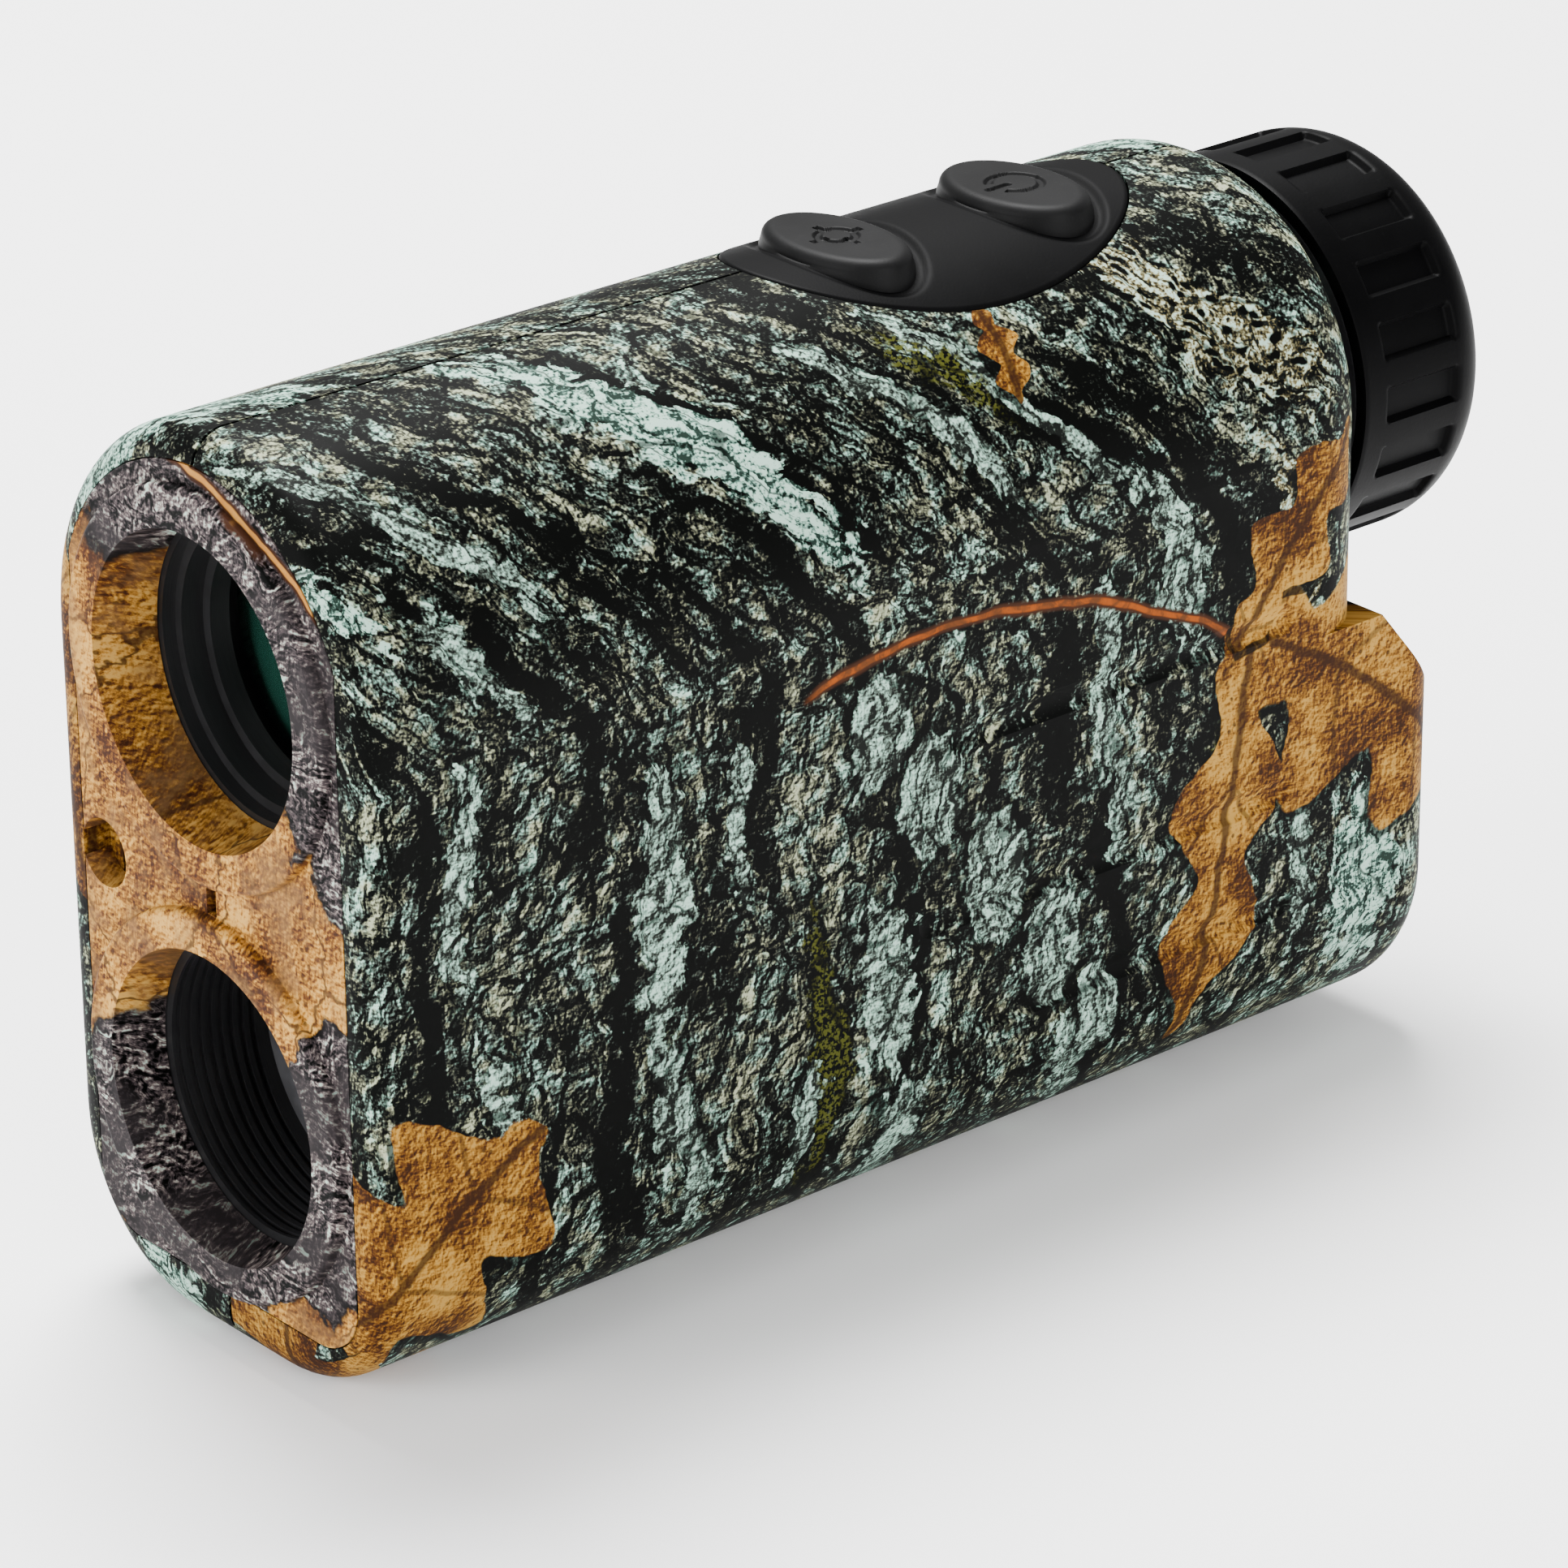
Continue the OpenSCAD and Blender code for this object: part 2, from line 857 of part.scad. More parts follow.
module main_board() {
    color("darkgreen")
        difference() {
            block([board_x, board_y[0], board_z[0]], [board_x + board_t, board_y[1], board_z[1]]);
            rod_x(boss_r + 0.6, board_x - 1, board_x + board_t + 1,
                screw_spots[1][0], screw_spots[1][1]);
            for (s = board_screw_spots)
                rod_x(0.85, board_x - 1, board_x + board_t + 1, s[0], s[1]);
        }
}

module board_chips() {
    chips = [[-6, 27, 9, 9], [5, 26, 5, 7], [-7, 40, 6, 4], [-15, 27, 4, 5]];
    color("black")
        for (c = chips)
            block([board_x - 1.2, c[0] - c[2] / 2, c[1] - c[3] / 2],
                [board_x, c[0] + c[2] / 2, c[1] + c[3] / 2]);
}

module board_screws() {
    color("silver")
        for (s = board_screw_spots) {
            rod_x(1.6, board_x - 1, board_x, s[0], s[1]);
            rod_x(0.75, board_x - 0.5, board_x + board_t + 2.5, s[0], s[1]);
        }
}

// Flat cable from the key board, past the holder's side, down to the main board
module ribbon_cable() {
    t = 0.2;
    y0 = mode_y - 7;
    y1 = y0 + 5;
    top = key_board_z + key_board_t;
    low = board_z[1] - 2;
    bend_x = 12.4;
    color("orange") {
        block([4, y0, top], [bend_x, y1, top + t]);
        block([bend_x - t, y0, low], [bend_x, y1, top + t]);
        block([bend_x - t, y0, low - t], [board_x, y1, low]);
    }
}

// ---- eyepiece ----

module eyepiece_barrel() {
    slot = cell_travel + drive_pin_r + 0.15;
    groove_y = barrel_end_y - 2;
    color("black")
        difference() {
            union() {
                rod_y(barrel_neck_r, barrel_y, barrel_neck_end + 1, view_z);
                rod_y(barrel_r, barrel_neck_end, barrel_end_y, view_z);
                rod_y(barrel_r + 1, wall_y - wall - 3.2, wall_y - wall - 1.6, view_z);
            }
            rod_y(barrel_in_r, barrel_neck_end + 2, barrel_end_y + 1, view_z);
            rod_y(light_hole_r, barrel_y - 1, barrel_end_y, view_z);
            block([-drive_pin_r - 0.1, drive_pin_y - slot, view_z],
                [drive_pin_r + 0.1, drive_pin_y + slot, view_z + barrel_r + 1]);
            difference() {
                rod_y(barrel_r + 1, groove_y - 0.5, groove_y + 0.5, view_z);
                rod_y(barrel_r - 0.8, groove_y - 1, groove_y + 1, view_z);
            }
        }
}

module field_lens() {
    color("lightblue", 0.5)
        lens(barrel_in_r, 1.6, 40, barrel_neck_end + 2, view_z);
}

module eyepiece_o_ring() {
    minor = 0.38;
    along_y(view_z, barrel_end_y - 2)
        color("black")
            rotate_extrude()
                translate([barrel_r - 0.8 + minor, 0])
                    circle(minor, $fn = 24);
}

module eye_cell() {
    color("black")
        difference() {
            union() {
                rod_y(cell_r, cell_y, cell_y + cell_len, view_z);
                translate([0, drive_pin_y, view_z + cell_r - 0.5])
                    cylinder(r = drive_pin_r, h = ring_in_r + 0.7 - cell_r + 0.5);
            }
            rod_y(10.2, cell_y + 2, cell_y + cell_len + 1, view_z);
            rod_y(9.2, cell_y - 1, cell_y + 3, view_z);
        }
}

module eye_lens() {
    color("lightblue", 0.5)
        lens(10.2, 1.8, 30, cell_y + 2, view_z);
}

module eye_lens_ring() {
    color("black")
        tube_y(10.2, 9, cell_y + cell_len - 1.6, cell_y + cell_len, view_z);
}

module diopter_ring() {
    color("dimgray")
        difference() {
            rod_y(ring_out_r, ring_y, rear_y - 4.5, view_z);
            rod_y(ring_in_r, ring_y - 1, barrel_end_y + 0.3, view_z);
            rod_y(11.6, ring_y, rear_y, view_z);
            rod_y(ring_in_r + 0.9, drive_pin_y - cell_travel - drive_pin_r - 0.15,
                drive_pin_y + cell_travel + drive_pin_r + 0.15, view_z);
        }
}

// Rubber sleeve with a rounded rim and shallow grip pockets
module eyecup() {
    lip = 1;
    rim_y = rear_y - ring_y;
    pocket_y = ring_y + 2.6;
    color("black")
        difference() {
            along_y(view_z, ring_y)
                rotate_extrude()
                    difference() {
                        union() {
                            square([eyecup_r, rim_y - eyecup_rim_r]);
                            square([eyecup_r - eyecup_rim_r, rim_y]);
                            translate([eyecup_r - eyecup_rim_r, rim_y - eyecup_rim_r])
                                circle(eyecup_rim_r);
                        }
                        square([ring_out_r, rim_y - 4.5]);
                        square([eyecup_in_r - lip, rim_y + 1]);
                    }
            for (i = [0 : grip_count - 1])
                translate([0, 0, view_z])
                    rotate([0, i * 360 / grip_count, 0])
                        translate([-grip_pocket[0] / 2, pocket_y, eyecup_r - grip_pocket[2]])
                            cube([grip_pocket[0], grip_pocket[1], 2]);
        }
}

// ---- battery bay ----

module battery_tray() {
    color("dimgray")
        difference() {
            union() {
                rod_y(tray_out_r, tray_y, tray_end_y, battery_z);
                block([-11.5, tray_end_y - 2, 7.5], [11.5, tray_end_y, 26.5]);
            }
            rod_y(tray_in_r, tray_y + 1.9, tray_end_y + 1, battery_z);
        }
}

// Coil of round turns narrowing towards the battery
module battery_spring() {
    turns = 4;
    wire_r = 0.35;
    pitch = (spring_len - 2 * wire_r) / (turns - 1);
    color("silver")
        for (i = [0 : turns - 1])
            along_y(battery_z, battery_y - spring_len + wire_r + i * pitch)
                rotate_extrude()
                    translate([5.6 - i, 0])
                        circle(wire_r, $fn = 24);
}

module battery() {
    color("steelblue")
        union() {
            rod_y(battery_d / 2, battery_y, battery_end_y, battery_z);
            rod_y(3, battery_end_y - eps, battery_end_y + 0.6, battery_z);
        }
}

module door_seal() {
    color("black")
        tube_y(tray_out_r + 0.7, tray_in_r + 0.4, tray_end_y, door_in_y - 0.2, battery_z);
}

module door_hinge_pin() {
    color("silver")
        upright(pin_r, knuckle_low_z - lug_h, knuckle_top_z + lug_h);
}

module battery_door() {
    swing_gap = 0.05;
    color("darkolivegreen")
        difference() {
            union() {
                intersection() {
                    body_form();
                    push_y(door_in_y, foot_y + 1)
                        door_outline(0);
                }
                upright(knuckle_r, knuckle_low_z, knuckle_top_z);
                block([hinge_x, hinge_y - hinge_web, knuckle_low_z],
                    [-door_half_w + 1, foot_y, knuckle_top_z]);
            }
            upright(pin_r + swing_gap, knuckle_low_z - 1, knuckle_top_z + 1);
        }
}

module door_contact() {
    color("gold")
        rod_y(4.5, door_in_y - 0.3, door_in_y, battery_z);
}

left_shell();
right_shell();
front_fascia();
strap_bar();
strap_pocket();
case_screws();
button_pad();
mode_button();
power_button();
key_board();
key_switches();
objective_ring();
objective_barrel();
objective_lens();
receiver_ring();
receiver_barrel();
receiver_lens();
detector_module();
laser_module();
prism_holder();
front_prism();
rear_prism();
display_glass();
main_board();
board_chips();
board_screws();
ribbon_cable();
eyepiece_barrel();
field_lens();
eyepiece_o_ring();
eye_cell();
eye_lens();
eye_lens_ring();
diopter_ring();
eyecup();
battery_tray();
battery_spring();
battery();
door_seal();
door_hinge_pin();
battery_door();
door_contact();
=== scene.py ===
"""Looks of the camouflaged laser rangefinder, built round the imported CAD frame. Metres throughout."""
import json
import math

import bpy
from mathutils import Matrix, Vector


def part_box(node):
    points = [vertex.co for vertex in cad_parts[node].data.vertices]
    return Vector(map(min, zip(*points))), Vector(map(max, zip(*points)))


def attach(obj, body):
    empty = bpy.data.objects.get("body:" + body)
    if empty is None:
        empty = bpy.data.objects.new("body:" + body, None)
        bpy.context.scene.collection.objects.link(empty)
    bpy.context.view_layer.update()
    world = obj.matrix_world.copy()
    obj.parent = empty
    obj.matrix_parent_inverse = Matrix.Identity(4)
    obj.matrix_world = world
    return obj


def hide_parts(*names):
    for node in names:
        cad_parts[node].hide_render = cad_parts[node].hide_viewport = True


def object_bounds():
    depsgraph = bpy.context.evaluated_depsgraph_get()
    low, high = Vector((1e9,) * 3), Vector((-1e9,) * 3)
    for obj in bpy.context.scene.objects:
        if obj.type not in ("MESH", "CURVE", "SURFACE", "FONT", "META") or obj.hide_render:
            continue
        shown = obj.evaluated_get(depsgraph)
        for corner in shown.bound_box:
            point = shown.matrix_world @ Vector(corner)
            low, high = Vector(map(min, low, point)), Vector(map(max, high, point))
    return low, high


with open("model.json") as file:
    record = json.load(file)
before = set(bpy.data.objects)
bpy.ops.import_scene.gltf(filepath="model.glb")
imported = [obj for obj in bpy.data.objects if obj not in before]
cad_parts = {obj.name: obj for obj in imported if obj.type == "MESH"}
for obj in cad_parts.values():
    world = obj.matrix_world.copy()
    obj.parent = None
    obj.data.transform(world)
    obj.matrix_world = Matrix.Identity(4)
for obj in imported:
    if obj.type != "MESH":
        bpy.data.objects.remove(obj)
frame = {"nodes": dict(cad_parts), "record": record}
cad_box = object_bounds()

MM = 0.001
NODES = frame["nodes"]


# ---------------------------------------------------------------- places, read from the frame

_, SHELL_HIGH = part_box("right_shell")
FLANK_X = SHELL_HIGH.x
CROWN_Z = SHELL_HIGH.z
VIEW_Z = CROWN_Z - FLANK_X
# Radius of the body's lower corners
CORNER_R = 14 * MM


# ---------------------------------------------------------------- node helpers

class Graph:
    """Short calls for building a shader graph; every value may be a number or another socket."""

    def __init__(self, tree):
        self.tree = tree

    def add(self, kind, **settings):
        made = self.tree.nodes.new(kind)
        for name, value in settings.items():
            setattr(made, name, value)
        return made

    def put(self, socket, value):
        if isinstance(value, bpy.types.NodeSocket):
            self.tree.links.new(value, socket)
        elif value is not None:
            socket.default_value = value

    def math(self, operation, a, b=None, clamp=False):
        made = self.add("ShaderNodeMath", operation=operation, use_clamp=clamp)
        for socket, value in zip(made.inputs, (a, b)):
            self.put(socket, value)
        return made.outputs[0]

    def vector(self, x, y, z=0.0):
        made = self.add("ShaderNodeCombineXYZ")
        for socket, value in zip(made.inputs, (x, y, z)):
            self.put(socket, value)
        return made.outputs[0]

    def vmath(self, operation, a, b):
        made = self.add("ShaderNodeVectorMath", operation=operation)
        self.put(made.inputs[0], a)
        self.put(made.inputs[1], b)
        return made.outputs[0]

    def length(self, a):
        made = self.add("ShaderNodeVectorMath", operation="LENGTH")
        self.put(made.inputs[0], a)
        return made.outputs["Value"]

    def hypot(self, a, b):
        squares = self.math("ADD", self.math("MULTIPLY", a, a), self.math("MULTIPLY", b, b))
        return self.math("SQRT", squares)

    def either(self, choice, if_one, if_zero):
        """if_one where choice is 1, if_zero where it is 0."""
        return self.math("ADD", self.math("MULTIPLY", if_one, choice),
                         self.math("MULTIPLY", if_zero, self.math("SUBTRACT", 1.0, choice)))

    def split(self, vector):
        made = self.add("ShaderNodeSeparateXYZ")
        self.put(made.inputs[0], vector)
        return made.outputs

    def noise(self, vector, scale=1.0, detail=4.0, rough=0.6):
        made = self.add("ShaderNodeTexNoise", noise_dimensions="3D")
        self.put(made.inputs["Vector"], vector)
        self.put(made.inputs["Scale"], scale)
        self.put(made.inputs["Detail"], detail)
        self.put(made.inputs["Roughness"], rough)
        return made.outputs["Fac"]

    def noise_colour(self, vector, scale=1.0, detail=2.0):
        made = self.add("ShaderNodeTexNoise", noise_dimensions="3D")
        self.put(made.inputs["Vector"], vector)
        self.put(made.inputs["Scale"], scale)
        self.put(made.inputs["Detail"], detail)
        return made.outputs["Color"]

    def cells(self, vector, scale=1.0, feature="F1", output="Distance"):
        made = self.add("ShaderNodeTexVoronoi", feature=feature, voronoi_dimensions="2D")
        self.put(made.inputs["Vector"], vector)
        self.put(made.inputs["Scale"], scale)
        return made.outputs[output]

    def step(self, value, low, high):
        """0 below low, 1 above high, smooth between."""
        made = self.add("ShaderNodeMapRange", interpolation_type="SMOOTHSTEP")
        self.put(made.inputs["Value"], value)
        self.put(made.inputs["From Min"], low)
        self.put(made.inputs["From Max"], high)
        return made.outputs[0]

    def fade(self, value, low, high):
        """1 below low, 0 above high, smooth between."""
        return self.math("SUBTRACT", 1.0, self.step(value, low, high))

    def total(self, *values):
        """Sum of any number of values."""
        result = values[0]
        for value in values[1:]:
            result = self.math("ADD", result, value)
        return result

    def times(self, a, b):
        return self.math("MULTIPLY", a, b)

    def ramp(self, value, stops):
        made = self.add("ShaderNodeValToRGB")
        elements = made.color_ramp.elements
        while len(elements) < len(stops):
            elements.new(0.5)
        for element, (position, colour) in zip(elements, stops):
            element.position = position
            element.color = (*colour, 1.0)
        self.put(made.inputs[0], value)
        return made.outputs[0]

    def mix(self, amount, a, b, blend="MIX"):
        made = self.add("ShaderNodeMix", data_type="RGBA", blend_type=blend)
        self.put(made.inputs["Factor"], amount)
        colour_a, colour_b = made.inputs[6], made.inputs[7]
        self.put(colour_a, (*a, 1.0) if isinstance(a, tuple) else a)
        self.put(colour_b, (*b, 1.0) if isinstance(b, tuple) else b)
        return made.outputs[2]

    def bump(self, height, strength, distance):
        made = self.add("ShaderNodeBump")
        self.put(made.inputs["Height"], height)
        self.put(made.inputs["Strength"], strength)
        self.put(made.inputs["Distance"], distance)
        return made.outputs[0]


def new_material(name):
    """A fresh material; gives it back with its graph and its shader."""
    material = bpy.data.materials.new(name)
    material.use_nodes = True
    graph = Graph(material.node_tree)
    shader = material.node_tree.nodes["Principled BSDF"]
    return material, graph, shader


def place(graph):
    """Position in the row frame, in millimetres."""
    coords = graph.add("ShaderNodeTexCoord").outputs["Object"]
    return graph.vmath("MULTIPLY", coords, (1000.0, 1000.0, 1000.0))


# ---------------------------------------------------------------- camouflage print

# Linear colours of the print
BLACK = (0.0006, 0.0008, 0.0006)
CHARCOAL = (0.0052, 0.0065, 0.0055)
BARK = (0.015, 0.018, 0.0152)
GREY = (0.028, 0.0335, 0.0273)
ASH = (0.045, 0.061, 0.050)
MINT = (0.066, 0.127, 0.105)
PALE = (0.15, 0.27, 0.205)
FROST = (0.32, 0.47, 0.39)
CREAM = (0.110, 0.104, 0.055)
IVORY = (0.27, 0.26, 0.15)
MOSS = (0.052, 0.056, 0.008)
UMBER = (0.030, 0.011, 0.005)
RUST = (0.080, 0.026, 0.008)
BROWN = (0.155, 0.064, 0.011)
TAN = (0.31, 0.140, 0.022)
SAND = (0.46, 0.255, 0.060)
EMBER = (0.22, 0.048, 0.006)
MAUVE = (0.16, 0.078, 0.062)
DUSK = (0.019, 0.016, 0.017)
PLUM = (0.050, 0.038, 0.040)
HEATHER = (0.115, 0.092, 0.088)
CHALK = (0.30, 0.27, 0.24)
LOAM = (0.018, 0.0175, 0.012)
CLAY = (0.049, 0.048, 0.032)
SAGE = (0.105, 0.15, 0.127)
DEEP_GREEN = (0.010, 0.020, 0.015)
OLIVE = (0.07, 0.055, 0.022)
# Tones from the darkest to the lightest: place on the scale, and colour
COOL_BARK = [(0.28, BLACK), (0.38, CHARCOAL), (0.47, BARK), (0.55, GREY), (0.64, ASH), (0.75, MINT),
             (0.88, PALE), (1.0, FROST)]
WARM_BARK = [(0.28, BLACK), (0.39, CHARCOAL), (0.50, LOAM), (0.62, CLAY), (0.76, CREAM), (0.95, IVORY)]
RIDGE_TONES = [(0.14, CHARCOAL), (0.26, GREY), (0.38, ASH), (0.50, SAGE), (0.66, PALE), (0.85, FROST)]
LICHEN_TONES = [(0.18, DEEP_GREEN), (0.30, MINT), (0.44, PALE), (0.60, FROST)]
CANKER_TONES = [(0.18, CHARCOAL), (0.32, OLIVE), (0.44, CREAM), (0.58, IVORY), (0.76, FROST)]
PANEL_BARK = [(0.15, BLACK), (0.33, DUSK), (0.52, PLUM), (0.68, HEATHER), (0.86, CHALK), (1.0, FROST)]
LEAF_TONES = [(0.18, UMBER), (0.34, RUST), (0.48, BROWN), (0.64, TAN), (0.85, SAND)]
# How much darker the leaves of the shells are painted than those of the panel: painted shade for the
# light on the sides
SHELL_LEAF_SHADE = (0.68, 0.68, 0.56)

# The far side's print is turned about half this place along the body, with grain from further off
TURNED_ABOUT = 4.0
GRAIN_SHIFT = 300.0
# Where the strands of bark start to lean forward over the crown, and by how much
LEAN_FROM = 52.0
LEAN = 0.85

# Marks of the bark: place along and round the body, half length along and round it
RIDGES = [((-50, 44), (1.6, 9)), ((-47, 20), (1.4, 8)), ((-42, 60), (1.3, 7)), ((-32, 37), (2.2, 11)),
          ((-30, 16), (1.9, 9)), ((-24, 41), (1.1, 7)), ((-18, 12), (1.0, 6)), ((-10, 21), (2.4, 9)),
          ((-7, 6), (1.8, 7)), ((11, 9), (2.2, 6)), ((14, 42), (1.8, 8)), ((22, 14), (1.6, 7)),
          ((16, 33), (1.3, 8)), ((22, 50), (1.9, 8)), ((35, 20), (1.5, 9)), ((10, 68), (1.7, 9)),
          ((20, 66), (1.6, 10)), ((-34, 72), (1.5, 11))]
FURROWS = [((-39, 50), (1.2, 14)), ((-36, 20), (1.4, 17)), ((-21, 46), (1.3, 14)), ((-16, 17), (1.4, 15)),
           ((-13, 60), (1.2, 12)), ((8, 46), (1.3, 13)), ((14, 18), (1.2, 16)), ((-54, 34), (0.9, 20)),
           ((-3.5, 68), (1.0, 12)), ((27, 56), (1.4, 12)), ((-27, 70), (1.1, 14)), ((-44, 10), (1.0, 10)),
           ((-7, 22), (0.9, 12)), ((25, 22), (1.0, 12)), ((22, 57), (2.0, 6))]
# A pale stripped branch that lies across the bark
BRANCH = [((-10, 44), (3.2, 5)), ((-5, 37), (3.3, 5.5)), ((2, 28), (3.5, 6)), ((8, 20), (3.2, 5.5)),
          ((13, 13), (2.4, 4.5))]
LICHENS = [((-7, 72), (3.9, 15)), ((43, 15), (3.6, 9)), ((-46, 74), (1.8, 10)), ((81, 72), (7, 14)),
           ((66, -5), (4.5, 5.5))]
CANKERS = [((41.5, 68), (4.6, 10)), ((36, 50), (2.4, 8))]
MOSSES = [((17, 70), (3.0, 6)), ((-16, 20), (1.6, 12)), ((28, 34), (2.4, 10))]
# Leaves: foot of the stem, turn, length and half width
LEAVES = [((-64, 4), 40, (27, 13)), ((27, 42), -36, (36, 13)), ((29.5, 43), -101, (38, 6.5)),
          ((28, 40), 48, (22, 5.5)), ((7.4, 75), -93, (9, 2.3)), ((-48, -3), 186, (22, 11)),
          ((67, 32), 98, (34, 8))]
# Bark of the front panel, and leaf that lies over that bark: middle across and up, half sizes
PANEL_BARKS = [((0, 79), (20, 21)), ((19, 60), (9.5, 22)), ((-3, 12), (18, 15)), ((15, 22), (6, 12))]
PANEL_LEAF_SPOTS = [((11, 3), (8, 5)), ((-17, 0), (6, 7))]
# Crown of the twig that runs to the leaves, and how fast it falls away
TWIG_TOP = (-3.0, 50.7)
TWIG_FALL = 0.0100
TWIG_ENDS = (-18.0, 29.0)
# Stem on the front panel: its foot across and up, its slope, how it steepens, and where it begins
STEM_FOOT = (-2.0, 72.6)
STEM_SLOPE = 0.2
STEM_FALL = 0.014
STEM_BEGINS = (-4.0, -2.5)
# Half widths in mm at which the wood of twig and stem, and the dark line under it, are full and gone
TWIG_WOOD = (0.14, 0.34)
TWIG_SHADE = (0.35, 0.70)
STEM_WOOD = (0.18, 0.42)
STEM_SHADE = (0.5, 0.9)


def wrapped(graph):
    """Place on the body's skin in mm, along it and round its section, and 1 on its far side."""
    x, y, z = graph.split(place(graph))
    flank = FLANK_X / MM
    view = VIEW_Z / MM
    corner = CORNER_R / MM
    side = graph.math("ABSOLUTE", x)
    rise = graph.math("MAXIMUM", graph.math("SUBTRACT", z, view), 0.0)
    crown = graph.math("SUBTRACT", math.pi / 2, graph.math("ARCTAN2", side, rise))
    sink = graph.math("MAXIMUM", graph.math("SUBTRACT", corner, z), 0.0)
    reach = graph.math("MAXIMUM", graph.math("SUBTRACT", side, flank - corner), 0.02)
    curl = graph.math("ARCTAN2", sink, reach)
    inner = graph.math("MAXIMUM", graph.math("SUBTRACT", flank - corner, side), 0.0)
    is_low = graph.math("GREATER_THAN", sink, 0.0)
    level = graph.math("MINIMUM", graph.math("MAXIMUM", z, corner), view)
    level = graph.math("ADD", level, graph.times(crown, flank))
    level = graph.math("SUBTRACT", level, graph.times(curl, corner))
    round_it = graph.math("SUBTRACT", level, graph.times(inner, is_low))
    high_r = graph.hypot(side, rise)
    low_r = graph.hypot(sink, reach)
    low_depth = graph.math("SUBTRACT", corner, low_r)
    high_depth = graph.math("SUBTRACT", flank, high_r)
    depth = graph.either(is_low, low_depth, high_depth)
    along = graph.math("ADD", y, graph.times(depth, graph.math("SIGN", y)))
    far = graph.math("LESS_THAN", x, 0.0)
    along = graph.either(far, graph.math("SUBTRACT", TURNED_ABOUT, along), along)
    return along, round_it, far


def marks(graph, at, spots):
    """How deep a point lies inside the nearest of several ovals: over 0 inside, under 0 outside."""
    nearest = None
    for middle, half in spots:
        off = graph.vmath("SUBTRACT", at, (*middle, 0.0))
        off = graph.vmath("MULTIPLY", off, (1 / half[0], 1 / half[1], 0.0))
        away = graph.length(off)
        nearest = away if nearest is None else graph.math("MINIMUM", nearest, away)
    return graph.math("SUBTRACT", 1.0, nearest)


def leaf(graph, u, v, spot, turn, size):
    """One lobed leaf: its mask and its vein mask. spot and size in millimetres."""
    c, s = math.cos(math.radians(turn)), math.sin(math.radians(turn))
    du = graph.math("SUBTRACT", u, spot[0])
    dv = graph.math("SUBTRACT", v, spot[1])
    along = graph.math("ADD", graph.times(du, c), graph.times(dv, s))
    across = graph.math("SUBTRACT", graph.times(dv, c), graph.times(du, s))
    length, width = size
    t = graph.math("DIVIDE", along, length)
    w = graph.math("DIVIDE", across, width)
    bend = graph.times(graph.math("SINE", graph.times(t, 3.0)), 0.16)
    w = graph.math("SUBTRACT", w, bend)
    inside_t = graph.math("MINIMUM", graph.math("MAXIMUM", t, 0.0), 1.0)
    belly = graph.math("POWER", graph.math("SINE", graph.times(inside_t, math.pi)), 0.7)
    sway = graph.times(graph.math("SIGN", w), 0.5)
    lobes = graph.math("SINE", graph.math("ADD", graph.times(t, 19.0), sway))
    lobes = graph.math("POWER", graph.math("ADD", graph.times(lobes, 0.5), 0.5), 0.8)
    reach = graph.times(belly, graph.math("ADD", 0.40, graph.times(lobes, 0.60)))
    off = graph.math("ABSOLUTE", w)
    inside = graph.step(graph.math("SUBTRACT", reach, off), 0.0, 0.03)
    thin = 0.22 / width
    rib = graph.fade(off, thin, 3 * thin)
    fan = graph.math("SUBTRACT", graph.times(t, 19.0), graph.times(off, 4.5))
    side_vein = graph.step(graph.math("SINE", graph.math("ADD", fan, 0.6)), 0.965, 0.998)
    veins = graph.math("MAXIMUM", rib, graph.times(side_vein, 0.7))
    return inside, graph.times(veins, inside)


def relief(graph, at, scale, detail, rough, reach):
    """Noise, and how much it falls towards the upper left, which draws lit and shaded edges."""
    here = graph.noise(at, scale, detail, rough)
    there = graph.noise(graph.vmath("ADD", at, (-reach, reach, 0.0)), scale, detail, rough)
    return here, graph.math("SUBTRACT", here, there)


def spread(graph, value, gain):
    """A noise value measured from its middle, times gain."""
    return graph.times(graph.math("SUBTRACT", value, 0.5), gain)


def jitter(graph, at, scale, reach, detail=3.0):
    """A wandering offset of up to about reach millimetres."""
    wander = graph.noise_colour(at, scale, detail)
    centred = graph.vmath("SUBTRACT", wander, (0.5, 0.5, 0.5))
    return graph.vmath("MULTIPLY", centred, (2 * reach, 2 * reach, 0.0))


def flakes(graph, at, lengths, gap):
    """Flakes of bark of the given size in mm: a tone for each, and a mask of the cracks between."""
    scaled = graph.vmath("MULTIPLY", at, (1 / lengths[0], 1 / lengths[1], 0.0))
    shade = graph.cells(scaled, output="Color")
    edge = graph.cells(scaled, feature="DISTANCE_TO_EDGE")
    return graph.split(shade)[0], graph.fade(edge, gap / 3, gap)


